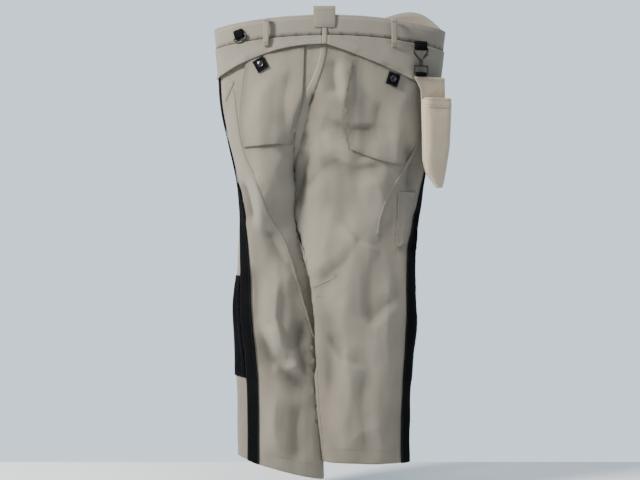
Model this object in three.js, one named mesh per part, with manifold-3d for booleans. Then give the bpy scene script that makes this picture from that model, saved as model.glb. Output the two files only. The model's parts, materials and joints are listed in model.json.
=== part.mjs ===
// Work trousers for fire and rescue crews, hung by the loop at the back of the waist.
// Millimetres. +Z is up, -Y is the wearer's back, +X is the wearer's right.
// The origin is the middle of the outer face of the hang loop, where a hanger grips the trousers.
import * as THREE from "three";
import { mergeVertices } from "three/addons/utils/BufferGeometryUtils.js";
import Module from "manifold-3d";

const wasm = await Module();
wasm.setup();

// Driving dimensions
const LENGTH = 1040; // along the side, from the top of the waistband to the hem
const CROTCH = 370; // drop from the waist to the fork
const SEAT = 200; // drop at which the two leg tubes begin to part
const MID_Y = 76; // the plane of the side seams
const WAISTBAND = 47.6;
const PLY = 2;
const SEAM_GAP = 0.006; // of a panel's width, at each of its long edges
const FORK_GAP = 1.5;
const LAYER = 1.4; // a sewn-on ply
const AIR = 0.4; // between plies that share a flat place
const TURN_AIR = 1.5; // under a ply that goes round the edge of a leg
const TAPE_WIDTH = 30;
const TAPE_TOP = 50;
const TAB = { width: 28, length: 30, ply: 1.5 };
const SNAP_R = 7.5;
const LOOP = { width: 13, length: 62, ply: 1.6, slot: 5.5 };
const LEFT = -1;
const RIGHT = 1;

// Drops at which the outline of each leg is given, and the outline at each of them
const DROPS = [0, 100, 200, 300, 370, 450, 560, 700, 850, 1040];
const OUTER = {
  [LEFT]: [-268, -258, -250, -229, -217, -209, -216, -226, -221, -217],
  [RIGHT]: [268, 256, 247, 231, 218, 208, 192, 194, 186, 180],
};
const INNER = {
  [LEFT]: [-11, -17, -54, -78, -85, -88, -38, -24, -24, -20],
  [RIGHT]: [-11, -17, -54, -78, -85, -82, -54, -36, -30, -12],
};
const FRONT_LINE = -0.2; // sideways run of the fly for each millimetre of drop
const LEG_Y = {
  [LEFT]: [76, 76, 76, 78, 80, 86, 104, 106, 96, 84],
  [RIGHT]: [76, 76, 76, 74, 72, 66, 50, 52, 60, 68],
};
const DEPTH = {
  [LEFT]: [70, 76, 84, 84, 80, 76, 62, 56, 50, 44],
  [RIGHT]: [70, 76, 84, 80, 70, 58, 50, 48, 46, 44],
};
const HIP_DEPTH = [70, 76, 86, 90, 88, 88, 88, 88, 88, 88];
const TWIST = {
  [LEFT]: [0, 0, 0.03, 0.06, 0.1, 0.4, 0.7, 0.85, 1.0, 1.0],
  [RIGHT]: [0, 0, 0.02, 0.04, 0.06, 0.1, 0.34, 0.4, 0.38, 0.35],
};
const SIDE_SCALE = { [LEFT]: 0.972, [RIGHT]: 0.985 };
const HEM_SLANT = { [LEFT]: 58, [RIGHT]: 0 };

// Colours
const TAN = [0xb3a894, 0.92, 0];
const TAN_TRIM = [0xaba08c, 0.92, 0];
const BLACK = [0x15161a, 0.85, 0];
const BLACK_PLASTIC = [0x1a1b1e, 0.4, 0];
const STEEL = [0x9a9da3, 0.3, 1];

const root = new THREE.Group();

const lerp = THREE.MathUtils.lerp;
const clamp = THREE.MathUtils.clamp;
const smooth = THREE.MathUtils.smoothstep;

// A smooth curve through the values given at each drop.
function along(values, drop, drops = DROPS) {
  const last = drops.length - 1;
  const at = clamp(drop, drops[0], drops[last]);
  let i = 0;
  while (i < last - 1 && at > drops[i + 1]) i += 1;
  const slope = (k) => {
    const a = Math.max(k - 1, 0);
    const b = Math.min(k + 1, last);
    return (values[b] - values[a]) / (drops[b] - drops[a]);
  };
  const span = drops[i + 1] - drops[i];
  const t = (at - drops[i]) / span;
  const t2 = t * t;
  const t3 = t2 * t;
  return (
    (2 * t3 - 3 * t2 + 1) * values[i] +
    (t3 - 2 * t2 + t) * span * slope(i) +
    (3 * t2 - 2 * t3) * values[i + 1] +
    (t3 - t2) * span * slope(i + 1)
  );
}

// The rise and fall of the waist's top edge.
const SAG = { [LEFT]: 22, [RIGHT]: 27 };
const FRONT_RISE = { [LEFT]: 16, [RIGHT]: 46 };
function waistLine(side, x, front) {
  const sag = -SAG[side] * (x / 268) ** 2;
  const share = clamp((side * x - 10) / 258, 0, 1);
  const rise = front ? FRONT_RISE[side] * Math.sin(Math.PI * share ** 2.2) : 0;
  return sag + rise;
}

// A point of the cloth. u is 0 at the side seam, 1 at the middle of the back and -1 at the middle
// of the front, or at the inside leg below the fork. drop is measured down from the waist.
function cloth(side, u, drop) {
  const outer = along(OUTER[side], drop);
  const fly = INNER[side][0] + FRONT_LINE * drop;
  const seam = u < 0 && drop < CROTCH ? fly : along(INNER[side], drop);
  const inner = seam + side * FORK_GAP;
  const twist = along(TWIST[side], drop) * (1 - Math.abs(u));
  const parted = smooth(drop, SEAT, CROTCH);
  const hip = (Math.PI / 2) * u + twist;
  const leg = Math.PI * u + twist;
  const reach = Math.abs(outer - inner);
  const hipX = inner + side * reach * Math.cos(hip);
  const hipY = MID_Y - along(HIP_DEPTH, drop) * Math.sin(hip);
  const legX = (outer + inner) / 2 + (side * reach * Math.cos(leg)) / 2;
  const legY = along(LEG_Y[side], drop) - along(DEPTH[side], drop) * Math.sin(leg);
  const x = lerp(hipX, legX, parted);
  const y = lerp(hipY, legY, parted);
  const inward = (1 - Math.cos(leg)) / 2;
  const slant = HEM_SLANT[side] * inward * (drop / LENGTH) ** 4;
  const top = waistLine(side, x, u < 0) * (1 - smooth(drop, 60, 420));
  const fall = drop * lerp(1, SIDE_SCALE[side], smooth(drop, 300, LENGTH));
  return new THREE.Vector3(x, y, top - fall - slant);
}

// The cloth's outward direction at the same place.
function outward(side, u, drop) {
  const du = 0.01;
  const dd = 3;
  const low = u < 0 ? clamp(u, -1 + du, -du) : clamp(u, du, 1 - du);
  const across = cloth(side, low + du, drop).sub(cloth(side, low - du, drop));
  const down = cloth(side, low, drop + dd).sub(cloth(side, low, drop - dd));
  return across.cross(down).normalize().multiplyScalar(side);
}

// A point off the cloth by a distance.
function lifted(side, u, drop, off) {
  return cloth(side, u, drop).addScaledVector(outward(side, u, drop), off);
}

// The u at which the back of the cloth has this x.
function uAt(side, x, drop, front = false) {
  const sign = front ? -1 : 1;
  let a = 0;
  let b = 1;
  for (let i = 0; i < 30; i += 1) {
    const m = (a + b) / 2;
    if ((cloth(side, sign * m, drop).x - x) * side > 0) a = m;
    else b = m;
  }
  return (sign * (a + b)) / 2;
}

function signedVolume(g) {
  const p = g.getAttribute("position");
  const idx = g.index;
  const [a, b, c] = [new THREE.Vector3(), new THREE.Vector3(), new THREE.Vector3()];
  let sum = 0;
  for (let i = 0; i < idx.count; i += 3) {
    a.fromBufferAttribute(p, idx.getX(i));
    b.fromBufferAttribute(p, idx.getX(i + 1));
    c.fromBufferAttribute(p, idx.getX(i + 2));
    sum += a.dot(b.cross(c));
  }
  return sum / 6;
}

// The geometry with only its positions, its shared vertices merged and its faces turned outwards.
function closed(g) {
  const plain = g.clone();
  plain.deleteAttribute("normal");
  plain.deleteAttribute("uv");
  const merged = mergeVertices(plain, 1e-4);
  if (signedVolume(merged) < 0) {
    const idx = merged.index;
    for (let i = 0; i < idx.count; i += 3) {
      const keep = idx.getX(i + 1);
      idx.setX(i + 1, idx.getX(i + 2));
      idx.setX(i + 2, keep);
    }
  }
  merged.computeVertexNormals();
  return merged;
}

// A block of nu by nv cells bent to a map from (u, v, through) in 0..1 to a point.
function bent(nu, nv, map) {
  const g = new THREE.BoxGeometry(1, 1, 1, nu, 1, nv);
  const p = g.getAttribute("position");
  for (let i = 0; i < p.count; i += 1) {
    const q = map(p.getX(i) + 0.5, p.getZ(i) + 0.5, p.getY(i) + 0.5);
    p.setXYZ(i, q.x, q.y, q.z);
  }
  return closed(g);
}

function add(name, geometry, [color, roughness, metalness]) {
  const mesh = new THREE.Mesh(
    geometry,
    new THREE.MeshStandardMaterial({ color, roughness, metalness }),
  );
  mesh.name = name;
  root.add(mesh);
  return mesh;
}

// A ply that follows the cloth between two offsets; where(u, v) gives its place on the cloth.
function ply(side, nu, nv, inside, outside, where) {
  return bent(nu, nv, (u, v, w) => {
    const [along_u, drop] = where(u, v);
    return lifted(side, along_u, drop, lerp(inside, outside, w));
  });
}

function solid(geometry) {
  const g = closed(geometry);
  return new wasm.Manifold(
    new wasm.Mesh({
      numProp: 3,
      vertProperties: new Float32Array(g.getAttribute("position").array),
      triVerts: new Uint32Array(g.index.array),
    }),
  );
}

function fromSolid(s) {
  const m = s.getMesh();
  const points = new Float32Array(m.numVert * 3);
  for (let i = 0; i < m.numVert; i += 1) {
    points.set(m.vertProperties.subarray(i * m.numProp, i * m.numProp + 3), i * 3);
  }
  const g = new THREE.BufferGeometry();
  g.setAttribute("position", new THREE.BufferAttribute(points, 3));
  g.setIndex(new THREE.BufferAttribute(m.triVerts, 1));
  g.computeVertexNormals();
  return g;
}

// Leg panels
const NAMES = { [LEFT]: "left", [RIGHT]: "right" };
for (const side of [LEFT, RIGHT]) {
  for (const [face, sign] of [["back", 1], ["front", -1]]) {
    const zip = face === "front";
    const where = (u, v) => {
      const drop = lerp(WAISTBAND + TURN_AIR, LENGTH, v);
      const edge = zip ? 0.028 * (1 - smooth(drop, 235, 250)) : 0;
      const packed = u - 0.09 * Math.sin(2 * Math.PI * u);
      return [sign * lerp(SEAM_GAP, 1 - SEAM_GAP - edge, packed), drop];
    };
    add(`${face}_${NAMES[side]}_leg`, ply(side, 14, 30, -PLY, 0, where), TAN);
  }
  const fold = (u, v) => [lerp(-0.97, 0.97, u), lerp(LENGTH - 32, LENGTH - 1, v)];
  add(`${NAMES[side]}_hem`, ply(side, 30, 1, -PLY - TURN_AIR - LAYER, -PLY - TURN_AIR, fold), TAN_TRIM);
}

// Waistband, in four lengths
for (const side of [LEFT, RIGHT]) {
  for (const [face, sign] of [["back", 1], ["front", -1]]) {
    const where = (u, v) => [sign * lerp(SEAM_GAP, 1 - SEAM_GAP, u), v * WAISTBAND];
    add(`waistband_${face}_${NAMES[side]}`, ply(side, 12, 1, -PLY, 1.6, where), TAN_TRIM);
  }
}

// Yoke, whose lower edge falls away from the middle of the back
const POCKET_OFF = [TURN_AIR, TURN_AIR + LAYER];
const YOKE_OFF = [POCKET_OFF[1] + AIR, POCKET_OFF[1] + AIR + LAYER];
const YOKE_SLOPE = { [LEFT]: -0.04, [RIGHT]: 0.32 };
const YOKE_BOW = { [LEFT]: 0.001, [RIGHT]: 0 };
function yokeEdge(side, x) {
  const away = Math.max(0, side * (x + 11));
  return 69 + YOKE_SLOPE[side] * away + YOKE_BOW[side] * away ** 2;
}
for (const side of [LEFT, RIGHT]) {
  const where = (u, v) => {
    const at = lerp(0.07, 0.99, u);
    const low = yokeEdge(side, cloth(side, at, 90).x);
    return [at, lerp(WAISTBAND + AIR, low, v)];
  };
  add(`yoke_${NAMES[side]}`, ply(side, 12, 3, ...YOKE_OFF, where), TAN_TRIM);
}

// Patch pockets on the seat, with their mouths under the yoke
const BACK_POCKET = {
  [LEFT]: { out: [-190, -205, -196], in: [-57, -66, -88], low: [298, 288] },
  [RIGHT]: { out: [206, 212, 166], in: [59, 32, 46], low: [340, 306] },
};
for (const side of [LEFT, RIGHT]) {
  const spec = BACK_POCKET[side];
  const where = (u, v) => {
    const xOut = along(spec.out, v, [0, 0.6, 1]);
    const xIn = along(spec.in, v, [0, 0.72, 1]);
    const x = lerp(xOut, xIn, u);
    const top = yokeEdge(side, x) - 12;
    const low = lerp(spec.low[0], spec.low[1], u ** 1.6);
    const drop = lerp(top, low, v);
    return [uAt(side, x, drop), drop];
  };
  add(`${NAMES[side]}_back_pocket`, ply(side, 10, 10, ...POCKET_OFF, where), TAN);
}

// A frame on the cloth: x runs along it to the wearer's right, y inwards and z up, turned by lean.
function stationAt(side, u, drop, off, lean) {
  const out = outward(side, u, drop);
  const place = lifted(side, u, drop, off);
  const y = out.clone().negate();
  const x = new THREE.Vector3().crossVectors(y, new THREE.Vector3(0, 0, 1)).normalize();
  const z = new THREE.Vector3().crossVectors(x, y);
  const m = new THREE.Matrix4().makeBasis(x, y, z).setPosition(place);
  return m.multiply(new THREE.Matrix4().makeRotationY(lean));
}

function placed(geometry, matrix) {
  return closed(geometry.clone().applyMatrix4(matrix));
}

// A button or cap turned from a profile of [radius, height] points, its height along -Y.
function turned(profile, segments = 18) {
  const points = profile.map(([r, h]) => new THREE.Vector2(r, h));
  return new THREE.LatheGeometry(points, segments).rotateX(Math.PI);
}

const CAP_PROFILE = [
  [0, 0],
  [SNAP_R, 0],
  [SNAP_R, 1],
  [SNAP_R - 1.2, 2],
  [SNAP_R - 2.6, 1.5],
  [0, 1.5],
];
const STUD_PROFILE = [
  [0, 0],
  [5, 0],
  [5, 1.4],
  [0, 1.4],
];

// Snap tabs that hold the yoke down to the pockets
const TAB_AT = { [LEFT]: { x: -163, lean: -0.5 }, [RIGHT]: { x: 146, lean: 0.32 } };
for (const side of [LEFT, RIGHT]) {
  const { x, lean } = TAB_AT[side];
  const top = yokeEdge(side, x) + 6;
  const u = uAt(side, x, top);
  const m = stationAt(side, u, top, 7, lean);
  const tab = new THREE.BoxGeometry(TAB.width, TAB.ply, TAB.length, 6, 1, 6);
  tab.translate(0, 0, -TAB.length / 2);
  add(`${NAMES[side]}_pocket_tab`, placed(tab, m), BLACK);
  const cap = turned(CAP_PROFILE).translate(0, -TAB.ply / 2 - 0.3, -TAB.length * 0.46);
  add(`${NAMES[side]}_snap_cap`, placed(cap, m), STEEL);
  const stud = turned(STUD_PROFILE).translate(0, TAB.ply / 2 + 1.7, -TAB.length * 0.46);
  add(`${NAMES[side]}_snap_stud`, placed(stud, m), STEEL);
}

// Side tapes down the outside of each leg
for (const side of [LEFT, RIGHT]) {
  const where = (u, v) => {
    const drop = lerp(TAPE_TOP, LENGTH, v);
    const step = 0.02;
    const arc = cloth(side, step, drop).distanceTo(cloth(side, -step, drop)) / (2 * step);
    return [(lerp(-0.5, 0.5, u) * TAPE_WIDTH) / arc, drop];
  };
  add(`${NAMES[side]}_side_tape`, ply(side, 6, 30, TURN_AIR, TURN_AIR + 1.2, where), BLACK);
}

// Knee patches on the fronts of the legs
for (const side of [LEFT, RIGHT]) {
  const where = (u, v) => [-lerp(0.088, 0.86, u), lerp(600, 848, v)];
  add(`${NAMES[side]}_knee_patch`, ply(side, 10, 8, TURN_AIR, TURN_AIR + 1.6, where), BLACK);
}

// Slanted hip pockets on the fronts
for (const side of [LEFT, RIGHT]) {
  const where = (u, v) => {
    const lead = lerp(-0.2, -0.62, u);
    return [lerp(lead, lead - 0.04 + 0.1 * u, v), lerp(56, lerp(235, 262, u), v)];
  };
  add(`${NAMES[side]}_front_pocket`, ply(side, 6, 6, ...POCKET_OFF, where), TAN);
}

// Rule pocket on the back of the right thigh
{
  const where = (u, v) => {
    const x = lerp(lerp(156, 150, v), lerp(198, 175, v), u);
    const drop = lerp(402, lerp(532, 522, u), v);
    return [uAt(RIGHT, x, drop), drop];
  };
  add("right_thigh_pocket", ply(RIGHT, 5, 5, ...POCKET_OFF, where), TAN);
}

// A strip standing off the cloth between two sewn ends; its profile is in y (inwards) and z.
function loopProfile(length, thick, slot, foot) {
  const s = new THREE.Shape();
  const top = 0;
  const low = -length;
  s.moveTo(0, top);
  s.lineTo(-slot - thick + 2, top);
  s.lineTo(-slot - thick, top - 3);
  s.lineTo(-slot - thick, low + 3);
  s.lineTo(-slot - thick + 2, low);
  s.lineTo(0, low);
  s.lineTo(0, low + foot);
  s.lineTo(-slot + 0.6, low + foot);
  s.lineTo(-slot, low + foot + 2);
  s.lineTo(-slot, top - foot - 2);
  s.lineTo(-slot + 0.6, top - foot);
  s.lineTo(0, top - foot);
  s.closePath();
  return s;
}

// A profile in y and z pushed along x.
function along_x(shape, width) {
  const g = new THREE.ExtrudeGeometry(shape, { depth: width, bevelEnabled: false, steps: 1 });
  const m = new THREE.Matrix4().makeBasis(
    new THREE.Vector3(0, 1, 0),
    new THREE.Vector3(0, 0, 1),
    new THREE.Vector3(1, 0, 0),
  );
  return g.applyMatrix4(m).translate(-width / 2, 0, 0);
}

// Belt loops around the waist
const BELT_LOOPS = {
  belt_loop_back_right: { side: RIGHT, x: 143, front: false },
  belt_loop_back_left: { side: LEFT, x: -143, front: false },
  belt_loop_front_right: { side: RIGHT, x: 96, front: true },
  belt_loop_front_left: { side: LEFT, x: -108, front: true },
  belt_loop_side_right: { side: RIGHT, x: 196, front: true },
  belt_loop_side_left: { side: LEFT, x: -196, front: true },
};
const BELT_LOOP_OFF = 6.6;
for (const [name, { side, x, front }] of Object.entries(BELT_LOOPS)) {
  const g = along_x(loopProfile(LOOP.length, LOOP.ply, LOOP.slot, 3.4), LOOP.width);
  const u = uAt(side, x, 3, front);
  add(name, placed(g, stationAt(side, u, 3, BELT_LOOP_OFF, 0)), TAN_TRIM);
}

// Hang loop at the middle of the back: a flat band folded round the top of the waistband
const HANG = { width: 50, high: 20, low: -30, deep: 12.5, ply: 1.6, x: -13 };
{
  const s = new THREE.Shape();
  const t = HANG.ply;
  s.moveTo(0, HANG.low);
  s.lineTo(t, HANG.low);
  s.lineTo(t, HANG.high - t - 2);
  s.lineTo(t + 2, HANG.high - t);
  s.lineTo(HANG.deep - t - 2, HANG.high - t);
  s.lineTo(HANG.deep - t, HANG.high - t - 2);
  s.lineTo(HANG.deep - t, HANG.low);
  s.lineTo(HANG.deep, HANG.low);
  s.lineTo(HANG.deep, HANG.high - 3);
  s.lineTo(HANG.deep - 3, HANG.high);
  s.lineTo(3, HANG.high);
  s.lineTo(0, HANG.high - 3);
  s.closePath();
  const g = along_x(s, HANG.width).translate(HANG.x, 0, 0);
  add("hang_loop", closed(g), TAN_TRIM);
}

// A frame that hangs plumb from a place on the cloth.
function plumbAt(side, u, drop, off) {
  const out = outward(side, u, drop).setZ(0).normalize();
  const y = out.clone().negate();
  const z = new THREE.Vector3(0, 0, 1);
  const x = new THREE.Vector3().crossVectors(y, z);
  return new THREE.Matrix4().makeBasis(x, y, z).setPosition(lifted(side, u, drop, off));
}

// A flat plate cut from a shape in x and z, centred on y.
function plate(shape, thick) {
  const g = new THREE.ExtrudeGeometry(shape, {
    depth: thick,
    bevelEnabled: false,
    steps: 1,
    curveSegments: 10,
  });
  const m = new THREE.Matrix4().makeBasis(
    new THREE.Vector3(1, 0, 0),
    new THREE.Vector3(0, 0, 1),
    new THREE.Vector3(0, -1, 0),
  );
  return g.applyMatrix4(m).translate(0, thick / 2, 0);
}

function outline(points) {
  return new THREE.Shape(points.map(([x, z]) => new THREE.Vector2(x, z)));
}

function rectangle(left, right, low, high) {
  return [
    [left, low],
    [right, low],
    [right, high],
    [left, high],
  ];
}

// Webbing folded round a bar and sewn flat; its profile is in y (inwards) and z.
const WEB = { deep: 8.8, high: 20.5, ply: 2, eye: 6.6 };
const BAR_Z = -WEB.high + WEB.ply + WEB.eye / 2;
const BAR_Y = -WEB.deep / 2;
const BAR = 3.2;
function webbing(width, foot) {
  const step = foot ? [[0, -6], [foot, -5], [foot, 0]] : [[0, 0]];
  const s = outline([[-WEB.deep, -WEB.high], [0, -WEB.high], ...step, [-WEB.deep, 0]]);
  const low = -WEB.high + WEB.ply;
  s.holes.push(outline(rectangle(-WEB.deep + WEB.ply, -WEB.ply, low, low + WEB.eye)));
  return along_x(s, width);
}

// D-ring on the left hip
const D_RING = { x: -209, drop: 18, off: 2.1, width: 34, high: 17 };
{
  const u = uAt(LEFT, D_RING.x, D_RING.drop);
  const m = stationAt(LEFT, u, D_RING.drop, D_RING.off, -0.3);
  add("left_ring_webbing", placed(webbing(22, 0), m), BLACK);
  const half = D_RING.width / 2;
  const s = new THREE.Shape();
  s.moveTo(-half, 0);
  s.absellipse(0, -BAR, half, D_RING.high - BAR, Math.PI, 2 * Math.PI, false);
  s.lineTo(half, 0);
  s.closePath();
  const hole = new THREE.Path();
  hole.moveTo(-half + BAR, -BAR);
  hole.absellipse(0, -BAR, half - BAR, D_RING.high - 2 * BAR, Math.PI, 2 * Math.PI, false);
  hole.closePath();
  s.holes.push(hole);
  const ring = plate(s, BAR).translate(0, BAR_Y, BAR_Z + BAR / 2);
  add("left_d_ring", placed(ring, m), BLACK_PLASTIC);
}

// Snap hook on the right hip, hanging plumb from its webbing
const HOOK = { x: 201, drop: 44, off: 14 };
const hookFrame = plumbAt(RIGHT, uAt(RIGHT, HOOK.x, HOOK.drop), HOOK.drop, HOOK.off);
const NOSE_Z = -26;
const NECK = { half: 4.5, high: -43.5, low: -54 };
add("right_hook_webbing", placed(webbing(28, HOOK.off - 8), hookFrame), BLACK);
{
  const barTop = BAR_Z + BAR / 2;
  const barLow = BAR_Z - BAR / 2;
  const body = outline([
    [-NECK.half, NECK.low],
    [NECK.half, NECK.low],
    [NECK.half, NECK.high],
    [1, NECK.high + 3],
    [-3, NECK.high + 4.4],
    [-14.6, NOSE_Z],
    [-14.6, barLow],
    [14.6, barLow],
    [14.6, NOSE_Z],
    [18, NOSE_Z],
    [18, barTop],
    [-18, barTop],
    [-18, NOSE_Z - 2],
    [-NECK.half, NECK.high - 1],
  ]);
  add("hook_body", placed(plate(body, BAR).translate(0, BAR_Y, 0), hookFrame), BLACK_PLASTIC);
  const gate = outline([
    [3.4, -38.2],
    [6.2, -40.6],
    [18.6, NOSE_Z - 4.5],
    [18, NOSE_Z - 2.6],
    [14.2, NOSE_Z - 1.2],
    [14.2, NOSE_Z + 2],
    [12.2, NOSE_Z + 1.4],
  ]);
  add("hook_gate", placed(plate(gate, 2.6).translate(0, BAR_Y, 0), hookFrame), BLACK_PLASTIC);
}

// Swivel eye under the hook
const EYE = { half: 18, high: -54.4, low: -76.4, bar: 4 };
{
  const s = outline(rectangle(-EYE.half, EYE.half, EYE.low, EYE.high));
  const hole = rectangle(-EYE.half + EYE.bar, EYE.half - EYE.bar, EYE.low + EYE.bar, EYE.high - EYE.bar);
  s.holes.push(outline(hole));
  add("hook_swivel_eye", placed(plate(s, BAR).translate(0, BAR_Y, 0), hookFrame), BLACK_PLASTIC);
}

// Holster that hangs from the swivel eye
const HOLSTER_TOP = -80;
const STRAP = { width: 25, half: 4.2, ply: 1.4, low: -79.7 };
const holsterFrame = hookFrame.clone().multiply(
  new THREE.Matrix4().makeTranslation(0, BAR_Y, 0),
);
{
  const high = EYE.low + EYE.bar + 2;
  const s = outline(rectangle(-STRAP.half, STRAP.half, STRAP.low, high));
  const inner = STRAP.half - STRAP.ply;
  const holeLow = EYE.low - 0.6;
  s.holes.push(outline(rectangle(-inner, inner, holeLow, high - STRAP.ply)));
  add("holster_strap", placed(along_x(s, STRAP.width), holsterFrame), BLACK);
}
const MOUTH = -132;
const BAG_DEPTH = 26;
{
  const back = outline([
    [-17, HOLSTER_TOP],
    [60, HOLSTER_TOP - 3],
    [61, MOUTH + 1],
    [67, MOUTH],
    [68, -150],
    [64, -240],
    [50, -333],
    [38, -333],
    [26, -318],
    [12, -300],
    [4, -270],
    [2, -180],
    [0, -110],
  ]);
  add("holster_back", placed(plate(back, 1.6).translate(0, 2, 0), holsterFrame), TAN);
  const bagPoints = (grow, top) => [
    [67 + grow, top],
    [68 + grow, -150],
    [64 + grow, -240],
    [50 + grow * 0.6, -333 - grow],
    [38, -333 - grow],
    [26 - grow * 0.6, -318 - grow],
    [12 - grow, -300 - grow],
    [4 - grow, -270],
    [2 - grow, -180],
    [1 - grow, top],
  ];
  const outer = solid(plate(outline(bagPoints(0, MOUTH)), BAG_DEPTH));
  const inner = solid(plate(outline(bagPoints(-1.8, MOUTH + 10)), BAG_DEPTH - 3.6));
  const bag = fromSolid(outer.subtract(inner)).translate(0, 0.8 - BAG_DEPTH / 2, 0);
  add("holster_bag", placed(bag, holsterFrame), TAN);
  const band = outline(rectangle(2.6, 66, -150, MOUTH));
  const facing = plate(band, 1.2).translate(0, 0.8 - BAG_DEPTH - 1, 0);
  add("holster_facing", placed(facing, holsterFrame), TAN_TRIM);
}

// Fly: zip chain, slider, pull and the placket beside them
const FLY = { high: 50, low: 232, sliderAt: 58 };
function flyPoint(x, drop, off) {
  const mid = cloth(RIGHT, -1, drop).add(cloth(LEFT, -1, drop)).multiplyScalar(0.5);
  const out = outward(RIGHT, -0.985, drop).setX(0).normalize();
  return mid.addScaledVector(out, off).add(new THREE.Vector3(x, 0, 0));
}
function flyStrip(nu, from, to, low, inside, outside) {
  return bent(nu, 10, (u, v, w) =>
    flyPoint(lerp(from, to, u), lerp(FLY.high, low, v), lerp(inside, outside, w)),
  );
}
add("zip_chain", flyStrip(1, -5, 5, FLY.low, -2, -0.4), BLACK);
const flyTop = flyPoint(0, FLY.sliderAt, 0);
const flyEnd = flyPoint(0, 210, 0);
const flyDown = flyEnd.clone().sub(flyTop).normalize();
const flyFrame = new THREE.Matrix4();
{
  const z = flyDown.clone().negate();
  const out = outward(RIGHT, -0.985, 120);
  const x = new THREE.Vector3().crossVectors(z, out).normalize();
  const y = new THREE.Vector3().crossVectors(z, x);
  flyFrame.makeBasis(x, y, z).setPosition(flyTop);
}
{
  const slider = outline([
    [-4.5, 0],
    [-3, -12],
    [3, -12],
    [4.5, 0],
  ]);
  add("zip_slider", placed(plate(slider, 2.6).translate(0, -2.6, 0), flyFrame), STEEL);
  const pull = outline([
    [-2.5, -2],
    [-3, -24],
    [3, -24],
    [2.5, -2],
  ]);
  add("zip_pull", placed(plate(pull, 1.2).translate(0, -4.9, 0), flyFrame), STEEL);
}
add("fly_placket", flyStrip(4, 6.5, 38, FLY.low + 4, 1.2, 1.2 + LAYER), TAN_TRIM);

// Waist tongue and its button at the front
{
  const at = (u) => lerp(-34, 12, u);
  const tongue = bent(8, 1, (u, v, w) => flyPoint(at(u), lerp(5, 43, v), lerp(2.6, 4.4, w)));
  add("waist_tongue", tongue, TAN_TRIM);
  const out = flyPoint(-24, 24, 4.9);
  const back = new THREE.Matrix4().makeRotationZ(Math.PI).setPosition(out);
  const profile = [
    [0, 0],
    [4, 0],
    [4, 1.6],
    [8.5, 2.2],
    [8.5, 3.6],
    [6, 4.2],
    [0, 4],
  ];
  add("waist_button", placed(turned(profile), back), STEEL);
}

export default root;
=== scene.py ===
"""Tan work trousers, hung by the waist and seen from behind, with a holster that clips on at the hip."""

import json
import math

import bmesh
import bpy
import numpy as np
from mathutils import Matrix, Vector, noise
from mathutils.bvhtree import BVHTree
from mathutils.kdtree import KDTree

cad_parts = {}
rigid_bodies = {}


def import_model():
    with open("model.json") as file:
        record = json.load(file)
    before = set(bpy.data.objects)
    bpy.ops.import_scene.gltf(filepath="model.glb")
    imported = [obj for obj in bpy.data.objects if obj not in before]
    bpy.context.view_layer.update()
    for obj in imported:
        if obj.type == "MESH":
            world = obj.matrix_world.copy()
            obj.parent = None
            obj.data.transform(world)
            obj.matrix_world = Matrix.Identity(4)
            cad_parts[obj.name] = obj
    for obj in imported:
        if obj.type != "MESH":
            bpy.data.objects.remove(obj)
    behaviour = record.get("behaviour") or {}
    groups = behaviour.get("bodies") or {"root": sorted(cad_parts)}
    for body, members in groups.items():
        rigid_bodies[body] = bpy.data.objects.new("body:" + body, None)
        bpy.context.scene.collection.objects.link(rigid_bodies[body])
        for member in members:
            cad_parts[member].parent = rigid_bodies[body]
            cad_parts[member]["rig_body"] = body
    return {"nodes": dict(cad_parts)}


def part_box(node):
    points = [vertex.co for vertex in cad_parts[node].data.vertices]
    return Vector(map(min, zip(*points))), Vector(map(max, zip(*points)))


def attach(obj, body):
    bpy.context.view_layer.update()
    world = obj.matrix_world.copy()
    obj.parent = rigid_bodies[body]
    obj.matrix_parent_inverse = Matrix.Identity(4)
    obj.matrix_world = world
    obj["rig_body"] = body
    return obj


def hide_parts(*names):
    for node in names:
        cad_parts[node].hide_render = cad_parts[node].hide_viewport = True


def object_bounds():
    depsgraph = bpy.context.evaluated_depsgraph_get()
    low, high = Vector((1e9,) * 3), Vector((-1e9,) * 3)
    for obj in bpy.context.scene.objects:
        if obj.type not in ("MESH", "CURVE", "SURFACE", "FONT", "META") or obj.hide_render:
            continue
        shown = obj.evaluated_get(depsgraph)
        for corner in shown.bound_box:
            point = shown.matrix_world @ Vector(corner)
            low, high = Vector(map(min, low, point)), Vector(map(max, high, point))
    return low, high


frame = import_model()
CAD_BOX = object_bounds()

bl_info = {
    "name": "Work trousers",
    "version": (1, 0, 0),
    "blender": (4, 5, 0),
    "location": "3D View > Sidebar > Trousers",
    "description": "Sews the cloth, tapes, seams and fittings of a pair of work trousers onto their frame",
    "category": "Object",
}

MM = 0.001
BODY = "trousers"
BACK = -1
FRONT = 1
SIDES = ("left", "right")
UP = Vector((0, 0, 1))
RIM_ANGLE = 0.85  # radians between two faces, past which their edge is a cut edge of the cloth
SEAM_REACH = 10 * MM  # how far from a seam the cloth puckers and is painted darker as shade
SEAM_FOOT_SHADOW_REACH = 2.6 * MM  # how far the painted shadow line at a seam's foot reaches
STIFF_REACH = (12 * MM, 55 * MM)  # the cloth lies flat up to the first and folds freely past the second
CAMERA_AT = Vector((-0.023, -2.4, -0.511))
LENS = 59.7
FLOOR_GAP = 38 * MM
LAMPS = (  # name, place, size in metres, watts, colour
    ("key", (-2.2, -1.15, 1.25), 0.6, 190.0, (1.0, 0.94, 0.85)),
    ("fill", (2.1, -1.6, 0.0), 1.4, 8.0, (0.93, 0.96, 1.0)),
    ("top", (0.3, -0.5, 1.8), 1.0, 20.0, (1.0, 0.99, 0.97)),
)
LAMP_TARGET = Vector((0, 0, -0.5))
AIR_COLOUR = (0.74, 0.88, 0.99, 1.0)
AIR_RANGE = {"From Min": -0.3, "From Max": 0.75, "To Min": 0.34, "To Max": 1.3}  # dim in front, bright behind

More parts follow.
